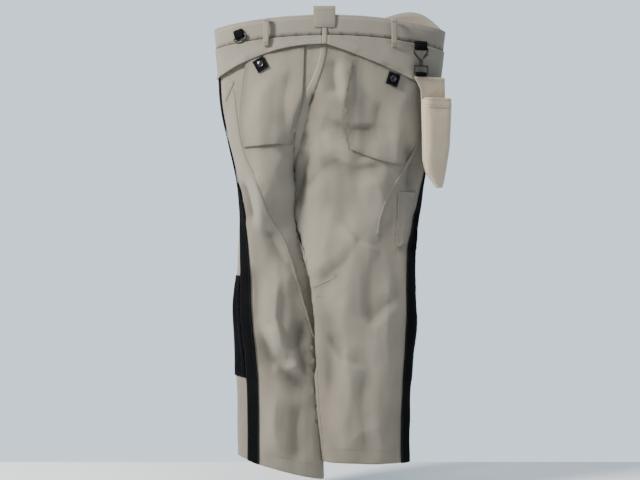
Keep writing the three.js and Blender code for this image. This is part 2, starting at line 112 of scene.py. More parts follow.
JOIN_REACH = 28 * MM  # how far from a sewn edge a panel is drawn to its neighbour
PATCH_REACH = 45 * MM  # how far in from its outer edge a knee patch widens
CREST_ROUNDING = 0.12  # how blunt the crest of a fold is, against its width
CLOSING = {"left": 11 * MM, "right": -2.5 * MM}  # how far the inside legs lean together below the fork
CLOSING_FROM = (0.33, 0.4)  # depths in metres between which the lean begins
CLOSING_EASES = (0.55, 0.7)  # and between which part of it goes again
LEG_ROWS = np.arange(-1.0, -0.34, 0.03)  # heights at which a leg's inside edge is measured
LEG_MIDDLE = (0.1, 0.076)  # how far out and forward each leg's middle lies
FOLD_LIMIT = 18 * MM
FOLD_SHADE = 8 * MM  # the fold height that counts as 1 in the shade and light painted into the cloth's colour
DRIFT_HEIGHT = 3.2 * MM  # the random swell between the placed folds
DRIFT_SEED = Vector((3.1, 7.7, 1.9))
HANG_LOOP_ROWS = (-0.0265, -0.0225, 0.0105)  # heights of its stitches
RULE_POCKET_TACK = -0.466  # height of the bartack across it
TOOTH_PITCH = 1.5 * MM
SEAM_STEP = 5 * MM
SEAT_SPAN = (-0.376, -0.04)  # lowest and highest point of each long seam
INSIDE_LEG_SPAN = (-1.04, -0.385)
CROTCH_SPAN = (-0.375, -0.236)

made = {}  # the finished piece for each name
surfaces = {}  # the finished surface of each piece, for what is sewn onto it
drape = {}  # where the cloth is, which way it faces and what holds it flat
threads = {}  # the rows of stitches of each group, body and thread
seam_points = []  # points along everything sewn down, for the pucker beside it and the painted shade and painted shadow line there
finishes = {}  # the material for each key


def length_field(name, description, default):
    return bpy.props.FloatProperty(name=name, description=description, default=default, unit="LENGTH")


def colour_field(name, description, default):
    return bpy.props.FloatVectorProperty(
        name=name, description=description, default=default, size=3, subtype="COLOR"
    )


class TrouserSizes(bpy.types.PropertyGroup):
    """Sizes that a maker would change."""

    stitch: length_field("Stitch length", "One stitch with its gap", 0.0036)
    thread: length_field("Thread", "Width of a stitch", 0.0008)
    fold_depth: bpy.props.FloatProperty(
        name="Fold depth", description="Multiplies the height of every fold", default=1.85
    )
    yoke_gape: length_field("Yoke gape", "How far the yoke's lower edge stands off", 0.0045)
    crumple: length_field("Crumple", "Height of the small creases all over", 0.0016)


class TrouserColours(bpy.types.PropertyGroup):
    """Colours that a maker would change."""

    tan: colour_field("Tan", "Main cloth", (0.205, 0.184, 0.149))
    trim: colour_field("Trim", "Waistband, yoke and loops", (0.205, 0.187, 0.153))
    holster: colour_field("Holster", "Holster cloth", (0.47, 0.39, 0.285))
    thread: colour_field("Thread", "Tan sewing thread", (0.18, 0.16, 0.125))
    tape: colour_field("Tape", "Black side tape and webbing", (0.0028, 0.003, 0.0036))
    knee: colour_field("Knee cloth", "Hard-wearing knee cloth", (0.0016, 0.002, 0.003))
    plastic: colour_field("Plastic", "Hook and ring", (0.004, 0.004, 0.0048))
    gunmetal: colour_field("Gunmetal", "Snap caps", (0.07, 0.07, 0.074))
    nickel: colour_field("Nickel", "Snaps, zip and button", (0.30, 0.295, 0.29))
    floor: colour_field("Floor", "Studio floor", (0.78, 0.80, 0.83))


def sizes():
    return bpy.context.scene.trouser_sizes


def colours():
    return bpy.context.scene.trouser_colours


class Wire:
    """A value or colour inside a material, worked on in plain expressions."""

    def __init__(self, finish, socket):
        self.finish = finish
        self.socket = socket

    def _math(self, operation, *others, flipped=False):
        terms = [self, *others]
        if flipped:
            terms.reverse()
        return self.finish.node("ShaderNodeMath", {"operation": operation}, dict(enumerate(terms)))

    def __add__(self, other):
        return self._math("ADD", other)

    def __radd__(self, other):
        return self._math("ADD", other)

    def __sub__(self, other):
        return self._math("SUBTRACT", other)

    def __rsub__(self, other):
        return self._math("SUBTRACT", other, flipped=True)

    def __mul__(self, other):
        return self._math("MULTIPLY", other)

    def __rmul__(self, other):
        return self._math("MULTIPLY", other)

    def __abs__(self):
        return self._math("ABSOLUTE")

    def sine(self):
        return self._math("SINE")

    def least(self, other):
        return self._math("MINIMUM", other)

    def most(self, other):
        return self._math("MAXIMUM", other)

    def held(self):
        """The value kept between 0 and 1."""
        return self.most(0.0).least(1.0)


class Finish:
    """One material and the nodes that make it."""

    def __init__(self, name, roughness, metallic=0.0, sheen=0.0, coat=0.0, specular=0.5):
        self.material = bpy.data.materials.new(name)
        self.material.use_nodes = True
        self.tree = self.material.node_tree
        self.shader = self.tree.nodes["Principled BSDF"]
        values = {
            "Roughness": roughness,
            "Metallic": metallic,
            "Sheen Weight": sheen,
            "Sheen Roughness": 0.6,
            "Coat Weight": coat,
            "Coat Roughness": 0.35,
            "Specular IOR Level": specular,
        }
        for socket, value in values.items():
            self.shader.inputs[socket].default_value = value
        self.place = self.node("ShaderNodeTexCoord", {}, {}, "Object")
        self.x, self.y, self.z = self.parts(self.place)

    def node(self, kind, settings, inputs, output=0):
        """Any node: its settings are set first, then the values or links of its sockets."""
        built = self.tree.nodes.new(kind)
        for key, value in settings.items():
            setattr(built, key, value)
        for key, value in inputs.items():
            if isinstance(value, Wire):
                self.tree.links.new(value.socket, built.inputs[key])
            else:
                built.inputs[key].default_value = value
        return Wire(self, built.outputs[output])

    def parts(self, vector):
        return [self.node("ShaderNodeSeparateXYZ", {}, {0: vector}, i) for i in range(3)]

    def clouds(self, scale, detail=3.0, stretch=(1.0, 1.0, 1.0), roughness=0.5):
        """Soft noise from 0 to 1, of so many blotches a metre."""
        place = self.node("ShaderNodeVectorMath", {"operation": "MULTIPLY"}, {0: self.place, 1: stretch})
        inputs = {"Vector": place, "Scale": scale, "Detail": detail, "Roughness": roughness}
        return self.node("ShaderNodeTexNoise", {}, inputs)

    def attribute(self, name):
        return self.node("ShaderNodeAttribute", {"attribute_name": name}, {}, "Fac")

    def mixed(self, factor, a, b):
        """Colour a where the factor is 0 and colour b where it is 1."""
        a = a if isinstance(a, Wire) else (*a, 1.0)
        b = b if isinstance(b, Wire) else (*b, 1.0)
        return self.node("ShaderNodeMix", {"data_type": "RGBA"}, {0: factor, 6: a, 7: b}, 2)

    def across(self):
        """Distance round the leg: x on the back and front, y on the sides."""
        facing = self.node("ShaderNodeTexCoord", {}, {}, "Normal")
        turn = ((abs(self.parts(facing)[0]) - 0.66) * 12.0).held()
        return self.x + (self.y - self.x) * turn

    def feed(self, socket, value):
        self.tree.links.new(value.socket, self.shader.inputs[socket])

    def bump(self, height):
        """Height in metres, raised from the surface."""
        inputs = {"Strength": 1.0, "Distance": 1.0, "Height": height}
        self.feed("Normal", self.node("ShaderNodeBump", {}, inputs))


def scaled(colour, factor):
    return tuple(c * factor for c in colour)


def twill(finish, pitch):
    """A diagonal rib with the two thread directions under it, from 0 to 1."""
    across = finish.across()
    rib = ((across + finish.z) * (2 * math.pi / pitch)).sine()
    weft = ((across - finish.z * 0.5) * (4 * math.pi / pitch)).sine()
    return (rib * 0.35 + weft * 0.15) + 0.5


def tan_twill(name, colour, crumple=1.0):
    """Washed cotton twill: diagonal rib, soft creases, painted shade beside its seams with a painted shadow
    line at their foot, painted shade in the fold hollows and painted light on the fold crests.
    """
    finish = Finish(name, 0.9, sheen=0.12)
    rib = twill(finish, 2.1 * MM)
    wash = finish.clouds(5.0, 4.0, (1.0, 1.0, 0.6))
    fleck = finish.clouds(420.0, 2.0)
    # near a seam: raises the pucker bump and paints shade into the colour
    seam = finish.attribute("seam").held()
    # painted shadow line at the foot of seams and sewn edges and just under the yoke's edge
    seam_foot_shadow = finish.attribute("seam_foot_shadow").held()
    # the fold height, for painted shade in the hollows and painted light on the crests
    hollow = finish.attribute("fold")
    base = finish.mixed(((wash - 0.35) * 2.4).held(), scaled(colour, 0.93), scaled(colour, 1.05))
    # painted shade in the fold hollows, then painted light on the fold crests
    base = finish.mixed(((hollow * -0.7) + 0.05).held(), base, scaled(colour, 0.5))
    base = finish.mixed((hollow * 0.4).held(), base, scaled(colour, 1.4))
    # painted shade beside the seams, then the painted shadow line at their foot
    base = finish.mixed(seam * 0.2, base, scaled(colour, 0.6))
    base = finish.mixed(seam_foot_shadow * 0.75, base, scaled(colour, 0.22))
    base = finish.mixed(((fleck - 0.5) * 1.6).held() * 0.3, base, scaled(colour, 1.3))
    base = finish.mixed((rib * -1.0 + 1.0).held() * 0.12, base, scaled(colour, 0.55))
    finish.feed("Base Color", base)
    finish.feed("Roughness", ((wash * 0.12) + 0.82).held())
    depth = sizes().crumple * crumple
    long_creases = finish.clouds(11.0, 3.0, (1.0, 1.0, 0.45), 0.45)
    short_creases = finish.clouds(34.0, 4.0, (1.0, 1.0, 0.8), 0.5)
    pucker = finish.clouds(95.0, 2.0, (1.0, 1.0, 1.0), 0.4)
    height = long_creases * (2.6 * depth) + short_creases * (0.55 * depth)
    height = height + pucker * (seam * (1.4 * depth)) + rib * (0.05 * MM) + fleck * (0.04 * MM)
    finish.bump(height)
    return finish.material


def black_tape(name, colour):
    """Ribbed woven tape with a selvedge and a bloom of grey fluff."""
    finish = Finish(name, 0.82, specular=0.04)
    ribs = (finish.z * (2 * math.pi / (1.7 * MM))).sine() * 0.5 + 0.5
    warp = (finish.across() * (2 * math.pi / (1.1 * MM))).sine() * 0.5 + 0.5
    bloom = finish.clouds(16.0, 4.0)
    fluff = finish.clouds(260.0, 2.0)
    base = finish.mixed(((bloom - 0.4) * 2.0).held(), colour, scaled(colour, 1.9))
    base = finish.mixed(((fluff - 0.6) * 5.0).held() * 0.5, base, scaled(colour, 4.0))
    base = finish.mixed(ribs * warp * 0.5, base, scaled(colour, 2.4))
    finish.feed("Base Color", base)
    finish.feed("Roughness", (ribs * -0.12 + 0.86).held())
    finish.bump(ribs * (0.16 * MM) + warp * (0.06 * MM) + bloom * (1.2 * MM))
    return finish.material


def knee_cloth(name, colour):
    """Coarse plain weave with a dull polish where it rubs."""
    finish = Finish(name, 0.78, specular=0.04)
    pitch = 2.2 * MM
    over = (finish.across() * (2 * math.pi / pitch)).sine()
    under = (finish.z * (2 * math.pi / pitch)).sine()
    basket = over * under * 0.5 + 0.5
    rub = finish.clouds(14.0, 5.0, (1.0, 1.0, 0.7))
    base = finish.mixed(((rub - 0.42) * 2.2).held(), colour, scaled(colour, 2.1))
    base = finish.mixed(basket * 0.35, base, scaled(colour, 2.6))
    finish.feed("Base Color", base)
    finish.feed("Roughness", ((rub * -0.35) + 0.95).held())
    finish.bump(basket * (0.25 * MM) + rub * (3.0 * MM))
    return finish.material


def satin_plastic(name, colour):
    """Moulded plastic: a fine spark-eroded grain, paler scuffs on it."""
    finish = Finish(name, 0.4, coat=0.1)
    grain = finish.clouds(1500.0, 2.0)
    scuff = finish.clouds(120.0, 6.0, (1.0, 1.0, 3.0), 0.7)
    worn = ((scuff - 0.56) * 7.0).held()
    finish.feed("Base Color", finish.mixed(worn * 0.6, colour, scaled(colour, 5.0)))
    finish.feed("Roughness", (scuff * 0.3 + 0.24).held())
    finish.bump(grain * (0.04 * MM) + scuff * (0.05 * MM))
    return finish.material


def brushed_nickel(name, colour):
    """Plated metal with hairlines, duller in its hollows."""
    finish = Finish(name, 0.28, metallic=1.0)
    hair = finish.clouds(900.0, 3.0, (1.0, 1.0, 0.08))
    tarnish = finish.clouds(70.0, 5.0)
    dull = ((tarnish - 0.5) * 3.0).held()
    finish.feed("Base Color", finish.mixed(dull * 0.5, colour, scaled(colour, 0.55)))
    finish.feed("Roughness", (hair * 0.22 + dull * 0.12 + 0.16).held())
    finish.bump(hair * (0.02 * MM))
    return finish.material


def sewing_thread(name, colour):
    """Two-ply thread, seen as a slanting twist."""
    finish = Finish(name, 0.75, sheen=0.1)
    twist = ((finish.x + finish.z * 1.7 + finish.y) * (2 * math.pi / (0.7 * MM))).sine() * 0.5 + 0.5
    age = finish.clouds(30.0, 3.0)
    base = finish.mixed(age, scaled(colour, 0.8), scaled(colour, 1.25))
    finish.feed("Base Color", finish.mixed(twist * 0.4, base, scaled(colour, 0.55)))
    finish.bump(twist * (0.08 * MM))
    return finish.material


def studio_floor(name, colour):
    """Pale matt board with a faint mottle."""
    finish = Finish(name, 0.85)
    mottle = finish.clouds(2.5, 4.0)
    finish.feed("Base Color", finish.mixed(mottle, scaled(colour, 0.97), scaled(colour, 1.03)))
    return finish.material


def finish_of(key):
    """The material for a key, made the first time that it is wanted."""
    if key not in finishes:
        hue = colours()
        makers = {
            "tan_cloth": lambda: tan_twill("Tan twill", hue.tan),
            "tan_trim": lambda: tan_twill("Tan trim twill", hue.trim, 0.6),
            "holster_cloth": lambda: tan_twill("Holster twill", hue.holster, 0.7),
            "black_webbing": lambda: black_tape("Black tape", hue.tape),
            "black_knee_cloth": lambda: knee_cloth("Knee cloth", hue.knee),
            "black_plastic": lambda: satin_plastic("Satin plastic", hue.plastic),
            "nickel": lambda: brushed_nickel("Brushed nickel", hue.nickel),
            "gunmetal": lambda: brushed_nickel("Gunmetal", hue.gunmetal),
            "tan_thread": lambda: sewing_thread("Tan thread", hue.thread),
            "black_thread": lambda: sewing_thread("Black thread", scaled(hue.tape, 2.0)),
            "floor": lambda: studio_floor("Floor", hue.floor),
        }
        finishes[key] = makers[key]()
    return finishes[key]


def body_of(node):
    return frame["nodes"][node]["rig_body"]


def merged(node):
    """A bmesh of a node with its doubles merged and its triangles joined."""
    shape = bmesh.new()
    shape.from_mesh(frame["nodes"][node].data)
    bmesh.ops.remove_doubles(shape, verts=shape.verts, dist=2e-5)
    bmesh.ops.join_triangles(
        shape, faces=shape.faces, angle_face_threshold=0.7, angle_shape_threshold=1.4
    )
    shape.normal_update()
    return shape


def settled(shape, name, finish):
    """The bmesh as a shaded object in the scene, at the origin."""
    mesh = bpy.data.meshes.new(name)
    shape.to_mesh(mesh)
    shape.free()
    mesh.materials.append(finish_of(finish))
    obj = bpy.data.objects.new(name, mesh)
    bpy.context.scene.collection.objects.link(obj)
    return obj


def baked(obj):
    """The object with its modifiers worked into its mesh."""
    graph = bpy.context.evaluated_depsgraph_get()
    graph.update()
    mesh = bpy.data.meshes.new_from_object(obj.evaluated_get(graph))
    obj.modifiers.clear()
    obj.data = mesh
    return obj


def finished(obj, name, node, angle=50):
    """Smooths a piece and files it under its name, standing for its node."""
    obj.data.shade_smooth()
    obj.data.set_sharp_from_angle(angle=math.radians(angle))
    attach(obj, body_of(node))
    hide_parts(node)
    made[name] = obj
    return obj


def rounded(obj, levels):
    rounding = obj.modifiers.new("Rounding", "SUBSURF")
    rounding.levels = rounding.render_levels = levels


def surface_of(obj):
    """The surface of a piece as it now is."""
    return BVHTree.FromPolygons([v.co for v in obj.data.vertices], [p.vertices for p in obj.data.polygons])


def tree_of(points):
    """A tree that finds the nearest of some points."""
    tree = KDTree(len(points))
    for i, p in enumerate(points):
        tree.insert(p, i)
    tree.balance()
    return tree


def smoothstep(x, low, high):
    t = np.clip((x - low) / (high - low), 0.0, 1.0)
    return t * t * (3 - 2 * t)


def points_of(mesh):
    flat = np.zeros(len(mesh.vertices) * 3)
    mesh.vertices.foreach_get("co", flat)
    return flat.reshape(-1, 3)


class Fold:
    """A crease in the hung cloth: a line in x and z, its height, and its width on each flank, in mm."""

    def __init__(self, line, rise, left, right):
        self.line = np.array(line, float) * MM
        self.rise = rise * MM
        self.left = left * MM
        self.right = right * MM

    def height(self, x, z):
        """Its height over each point, falling off sideways and towards both ends."""
        runs = np.linalg.norm(np.diff(self.line, axis=0), axis=1)
        total = runs.sum()
        best = np.full(len(x), 1e9)
        flank = np.zeros(len(x))
        share = np.zeros(len(x))
        passed = 0.0
        for start, end, run in zip(self.line[:-1], self.line[1:], runs):
            way = (end - start) / run
            dx = x - start[0]
            dz = z - start[1]
            t = np.clip(dx * way[0] + dz * way[1], 0, run)
            ox = dx - way[0] * t
            oz = dz - way[1] * t
            gap = np.hypot(ox, oz)
            nearer = gap < best
            best = np.where(nearer, gap, best)
            flank = np.where(nearer, way[0] * oz - way[1] * ox, flank)
            share = np.where(nearer, (passed + t) / total, share)
            passed += run
        width = np.where(flank > 0, self.left, self.right)
        taper = smoothstep(share, 0.0, 0.25) * (1 - smoothstep(share, 0.75, 1.0))
        slope = np.clip(1 - np.hypot(best / width, CREST_ROUNDING) / 1.8, 0.0, 1.0)
        return self.rise * slope**1.35 * (0.15 + 0.85 * taper)


# Folds on the back, from the waist down. A rise below zero is a hollow.
BACK_FOLDS = [
    # seat and fork
    Fold([(12, -96), (8, -140), (16, -190)], -5.0, 9, 20),
    Fold([(30, -104), (34, -160), (30, -215)], 4.0, 16, 24),
    Fold([(-30, -150), (-62, -235), (-84, -330)], -5.5, 26, 12),
    Fold([(-46, -300), (-66, -370), (-84, -452)], -7.0, 20, 10),
    Fold([(-20, -260), (10, -300), (70, -330)], 4.5, 24, 22),
    Fold([(-60, -400), (-20, -350), (40, -318)], -3.5, 18, 16),
    Fold([(-104, -300), (-126, -356), (-118, -430)], 5.0, 20, 26),
    Fold([(118, -190), (104, -250), (112, -300)], -2.0, 26, 12),
    Fold([(-4, -240), (50, -262), (118, -258)], -4.0, 8, 24),
    # left leg
    Fold([(-158, -120), (-150, -170), (-160, -240)], 1.5, 30, 14),
    Fold([(-92, -120), (-104, -190), (-100, -270)], -2.5, 10, 26),
    Fold([(-120, -600), (-126, -690), (-104, -770)], 5.0, 8, 26),
    Fold([(-204, -372), (-192, -420), (-178, -474)], -7.0, 12, 18),
    Fold([(-170, -350), (-160, -430), (-150, -500)], 5.5, 20, 22),
    Fold([(-148, -470), (-118, -540), (-74, -600)], -4.5, 14, 22),
    Fold([(-92, -440), (-100, -540), (-96, -650)], 4.0, 26, 30),
    Fold([(-164, -716), (-136, -782), (-84, -832), (-38, -872)], -8.0, 12, 22),
    Fold([(-150, -700), (-112, -756), (-60, -790)], 6.0, 16, 14),
    Fold([(-138, -800), (-100, -808), (-62, -794)], 5.0, 12, 16),
    Fold([(-60, -690), (-72, -760), (-56, -830)], -5.0, 12, 20),
    Fold([(-176, -560), (-168, -640), (-172, -720)], -3.5, 18, 16),
    Fold([(-120, -850), (-128, -930), (-120, -1020)], 4.5, 22, 28),
    Fold([(-66, -880), (-76, -950), (-70, -1030)], -5.0, 16, 24),
    # right leg
    Fold([(-2, -330), (60, -352), (130, -340)], -4.5, 8, 22),
    Fold([(20, -470), (60, -520), (120, -540)], 4.0, 7, 24),
    Fold([(-14, -720), (30, -780), (90, -800)], -4.0, 24, 8),
    Fold([(8, -420), (-10, -520), (-26, -610)], 4.0, 26, 30),
    Fold([(-40, -612), (-10, -596), (34, -560), (74, -500)], -4.5, 14, 26),
    Fold([(62, -420), (48, -560), (40, -700)], 3.5, 34, 36),
    Fold([(104, -470), (92, -600), (96, -760)], -4.0, 26, 34),
    Fold([(134, -560), (128, -700), (136, -860)], 4.0, 22, 30),
    Fold([(-6, -650), (4, -760), (-6, -880)], -4.5, 20, 30),
    Fold([(34, -720), (46, -840), (36, -980)], 4.5, 26, 30),
    Fold([(80, -800), (74, -900), (84, -1020)], -4.0, 20, 28),
    Fold([(12, -640), (60, -690), (120, -720)], 3.0, 18, 20),
    Fold([(150, -640), (120, -668), (84, -706)], -3.5, 12, 18),
    Fold([(176, -282), (184, -340), (178, -408)], -6.0, 14, 16),
    Fold([(206, -430), (200, -500), (186, -560)], -5.0, 14, 18),
    Fold([(92, -356), (120, -420), (134, -480)], 3.5, 22, 24),
    Fold([(20, -1000), (70, -950), (130, -930)], 2.5, 18, 24),
]

# Folds on the front
FRONT_FOLDS = [
    Fold([(-10, -250), (-60, -300), (-130, -330)], -5.0, 14, 22),
    Fold([(-6, -262), (60, -300), (140, -320)], -5.0, 22, 14),
    Fold([(-20, -290), (-80, -360), (-150, -400)], 4.0, 20, 20),
    Fold([(16, -290), (90, -366), (160, -410)], 4.0, 20, 20),
    Fold([(-120, -420), (-126, -500), (-118, -570)], 4.0, 26, 28),
    Fold([(-170, -520), (-120, -560), (-66, -540)], -4.0, 16, 22),
    Fold([(100, -440), (96, -520), (104, -580)], 4.0, 26, 30),
    Fold([(30, -560), (90, -590), (160, -560)], -4.0, 18, 18),
    Fold([(-150, -860), (-110, -880), (-60, -862)], -5.0, 12, 20),
    Fold([(40, -862), (100, -884), (166, -866)], -5.0, 12, 20),
    Fold([(-120, -900), (-128, -960), (-118, -1030)], 4.5, 24, 28),
    Fold([(70, -900), (78, -960), (72, -1030)], 4.5, 24, 28),
    Fold([(130, -910), (124, -970), (130, -1030)], -4.0, 18, 22),
    Fold([(-64, -640), (-70, -700), (-60, -780)], -2.5, 16, 16),
    Fold([(60, -620), (120, -640), (170, -620)], 3.0, 20, 20),
]

LEG_PANELS = ("back_left_leg", "back_right_leg", "front_left_leg", "front_right_leg")
BANDS = (
    "waistband_back_left",
    "waistband_back_right",
    "waistband_front_left",
    "waistband_front_right",
)
FITTINGS = (
    "left_d_ring",
    "left_ring_webbing",
    "right_hook_webbing",
    "left_pocket_tab",
    "right_pocket_tab",
    "waist_tongue",
    "zip_slider",
    "zip_pull",
)


def outer_face(shape, way_at):
    """The faces on the outer side of a ply, up to its cut edges."""
    seed = max(shape.faces, key=lambda f: f.calc_area() * f.normal.dot(way_at(f.calc_center_median())))
    outer, edge_on = {seed}, [seed]
    while edge_on:
        for edge in edge_on.pop().edges:
            for other in edge.link_faces:
                if other not in outer and edge.calc_face_angle(0.0) < RIM_ANGLE:
                    outer.add(other)
                    edge_on.append(other)
    return outer


def chart_cloth():
    """Charts the legs and waistband: where the cloth is, which way it faces, and what holds it flat."""
    places, ways = [], []
    for node in (*LEG_PANELS, *BANDS):
        shape = merged(node)
        aside, ahead = LEG_MIDDLE
        middle = Vector((-aside if "left" in node else aside, ahead, 0))
        outer = outer_face(shape, lambda p: Vector((p.x - middle.x, p.y - middle.y, 0)).normalized())
        for vert in shape.verts:
            normals = [f.normal * f.calc_area() for f in vert.link_faces if f in outer]
            if normals:
                places.append(np.array([vert.co]))
                ways.append(np.array([sum(normals, Vector()).normalized()]))
        shape.free()
    places, ways = np.vstack(places), np.vstack(ways)
    drape["tree"], drape["ways"] = tree_of(places), ways
    for side, edge in (("left", 1), ("right", -1)):
        panels = [frame["nodes"][f"{face}_{side}_leg"].data for face in ("back", "front")]
        points = np.vstack([points_of(panel) for panel in panels])
        inner, middle = [], []
        for row in LEG_ROWS:
            x = points[np.abs(points[:, 2] - row) < 0.03, 0]
            inner.append(x.max() if edge > 0 else x.min())
            middle.append((x.max() + x.min()) / 2)
        drape[side] = (np.array(inner), np.array(middle))
    held = []
    for node in FITTINGS:
        verts = list(frame["nodes"][node].data.vertices)
        held.extend(v.co for v in verts[:: max(1, len(verts) // 200)])
    drape["held"] = tree_of(held)


def closing(points, side):
    """How far each point of a leg moves in x, so that the inside legs lie against each other."""
    inner, middle = drape[side]
    height = points[:, 2]
    edge = np.interp(height, LEG_ROWS, inner)
    axis = np.interp(height, LEG_ROWS, middle)
    share = smoothstep((points[:, 0] - axis) / (edge - axis), 0.3, 1.0)
    fork = smoothstep(-height, *CLOSING_FROM) * (1 - 0.4 * smoothstep(-height, *CLOSING_EASES))
    return share * fork * CLOSING[side]


def facing_at(point):
    """The cloth's outward direction near a point."""
    total = Vector()
    for _, index, gap in drape["tree"].find_n(point, 5):
        total += Vector(drape["ways"][index]) / (gap + 2 * MM)
    return total.normalized()


def fold_height(points, facing):
    """The height of the folds over each point, in metres."""
    x, z = points[:, 0], points[:, 2]
    behind, ahead = (smoothstep(way * facing[:, 1], 0.05, 0.55) for way in (BACK, FRONT))
    height = np.zeros(len(points))
    for folds, share in ((BACK_FOLDS, behind), (FRONT_FOLDS, ahead)):
        for fold in folds:
            height += fold.height(x, z) * share
    drift = [
        noise.noise(Vector((p[0] * 15, p[1] * 15, p[2] * 4.2)) + DRIFT_SEED)
        + 0.5 * noise.noise(Vector((p[0] * 34, p[1] * 34, p[2] * 13)) - DRIFT_SEED)
        for p in points
    ]
    height += np.array(drift) * DRIFT_HEIGHT
    return height * sizes().fold_depth


def slack(points):
    """How freely the cloth may fold at each point, from 0 to 1."""
    near = np.array([drape["held"].find(p)[2] for p in points])
    free = smoothstep(near, *STIFF_REACH)
    waist = 0.12 + 0.88 * smoothstep(-points[:, 2], 0.05, 0.16)
    return free * waist


def with_values(mesh, name, values):
    """Gives a mesh a value at each point, for its material to read."""
    attribute = mesh.attributes.new(name, "FLOAT", "POINT")
    attribute.data.foreach_set("value", values.astype(np.float32))


def draped(obj, lift, side):
    """Moves a piece of cloth with the folds of the trousers, all layers alike."""
    mesh = obj.data
    points = points_of(mesh)
    facing = np.array([facing_at(p) for p in points])
    loose = slack(points)
    height = np.clip(fold_height(points, facing) * loose, -FOLD_LIMIT, FOLD_LIMIT)
    moved = points + facing * (height + lift)[:, None]
    if side:
        moved[:, 0] += closing(points, side)
    mesh.vertices.foreach_set("co", moved.ravel())
    # the fold height, read by the cloth's colour for painted shade in the hollows and painted light on the
    # crests
    with_values(mesh, "fold", height / FOLD_SHADE)
    mesh.update()


def mark_rims(shape, rim):
    """Marks the cut edges of a cloth shape so that rounding keeps them."""
    crease = shape.edges.layers.float.new("crease_edge")
    for edge in shape.edges:
        if len(edge.link_faces) == 2 and edge.calc_face_angle(0.0) > RIM_ANGLE:
            edge[crease] = rim


def cloth_piece(node, name, finish, levels, lift=0.0, rim=1.0, folds=True):
    """A node's cloth, rounded, draped with the trousers and standing for the node."""
    shape = merged(node)
    mark_rims(shape, rim)
    obj = settled(shape, name, finish)
    rounded(obj, levels)
    baked(obj)
    if folds:
        leg = next((s for s in SIDES if node.endswith(f"{s}_leg") or node == f"{s}_hem"), None)
        draped(obj, lift, leg)
    surfaces[node] = surface_of(obj)
    return finished(obj, name, node)


def union(nodes):
    """One surface of several finished pieces."""
    points, faces = [], []
    for node in nodes:
        mesh = made[f"{node}_cloth"].data
        start = len(points)
        points.extend(v.co.copy() for v in mesh.vertices)
        faces.extend([start + i for i in p.vertices] for p in mesh.polygons)
    return BVHTree.FromPolygons(points, faces)


def spaced(line, step):
    """Points along a line at an even step, with the way it runs at each."""
    line = [Vector(p) for p in line]
    runs = [(b - a).length for a, b in zip(line[:-1], line[1:])]
    total = sum(runs)
    count = max(1, round(total / step))
    out = []
    index, passed = 0, 0.0
    for i in range(count + 1):
        want = total * i / count
        while index < len(runs) - 1 and passed + runs[index] < want:
            passed += runs[index]
            index += 1
        share = (want - passed) / max(runs[index], 1e-9)
        out.append(line[index].lerp(line[index + 1], min(1.0, share)))
    ways = [(out[min(i + 1, count)] - out[max(i - 1, 0)]).normalized() for i in range(count + 1)]
    return list(zip(out, ways))


def curved(line, cuts=8):
    """A smooth curve through the points of a line."""
    line = [Vector(p) for p in line]
    out = []
    for i in range(len(line) - 1):
        before = line[max(i - 1, 0)]
        start, end = line[i], line[i + 1]
        after = line[min(i + 2, len(line) - 1)]
        for k in range(cuts):
            t = k / cuts
            bend = (2 * before - 5 * start + 4 * end - after) * t * t
            twist = (3 * start - before - 3 * end + after) * t**3
            out.append(0.5 * (2 * start + (end - before) * t + bend + twist))
    out.append(line[-1])
    return out


def on_cloth(line, surface, look=BACK):
    """A line of x and z, in mm, laid on the back or front of a surface."""
    flat = curved([Vector((x * MM, look * 0.5, z * MM)) for x, z in line])
    hits = [surface.ray_cast(p, Vector((0, -look, 0)))[0] for p in flat]
    return [hit for hit in hits if hit is not None]


def cut_edges(node):
    """The four cut edges of a ply's outer face: top, bottom, left and right."""
    shape = merged(node)
    outer = outer_face(shape, facing_at)
    border = {e for e in shape.edges if sum(f in outer for f in e.link_faces) == 1}
    loop = []
    while border:
        edge = min(border, key=lambda e: e.index)
        vert, walked = edge.verts[0], []
        while edge is not None:
            border.discard(edge)
            walked.append(vert.co.copy())
            vert = edge.other_vert(vert)
            edge = next((e for e in vert.link_edges if e in border), None)
        if len(walked) > len(loop):
            loop = walked
    shape.free()
    count = len(loop)
    corners = []
    for i, p in enumerate(loop):
        before, after = p - loop[i - 1], loop[(i + 1) % count] - p
        corners.append((before.angle(after, 0.0), i))
    corners = sorted(i for _, i in sorted(corners, reverse=True)[:4])
    sides = []
    for a, b in zip(corners, corners[1:] + [corners[0] + count]):
        sides.append([loop[i % count] for i in range(a, b + 1)])
    mean = [sum(side, Vector()) / len(side) for side in sides]
    across = [abs(mean[i].x - mean[i + 2].x) - abs(mean[i].z - mean[i + 2].z) for i in (0, 1)]
    flank = 0 if across[0] > across[1] else 1
    flanks = sorted((flank, flank + 2), key=lambda i: mean[i].x + mean[i].y * 0.2)
    ends = sorted((1 - flank, 3 - flank), key=lambda i: mean[i].z)
    named = {"left": sides[flanks[0]], "right": sides[flanks[1]]}
    named["bottom"], named["top"] = sides[ends[0]], sides[ends[1]]
    return named


OPPOSITE = {"top": "bottom", "bottom": "top", "left": "right", "right": "left"}
OPPOSITE_SIDES = (("left", "right"), ("right", "left"))


def inset(edges, side, depth):
    """A cut edge moved inwards over the cloth."""
    line, far = edges[side], edges[OPPOSITE[side]]
    out = []
    for i, p in enumerate(line):
        way = (line[min(i + 1, len(line) - 1)] - line[max(i - 1, 0)]).normalized()
        over = way.cross(facing_at(p)).normalized()
        target = min(far, key=lambda q: (q - p).length)
        if over.dot(target - p) < 0:
            over = -over
        out.append(p + over * depth)
    return out


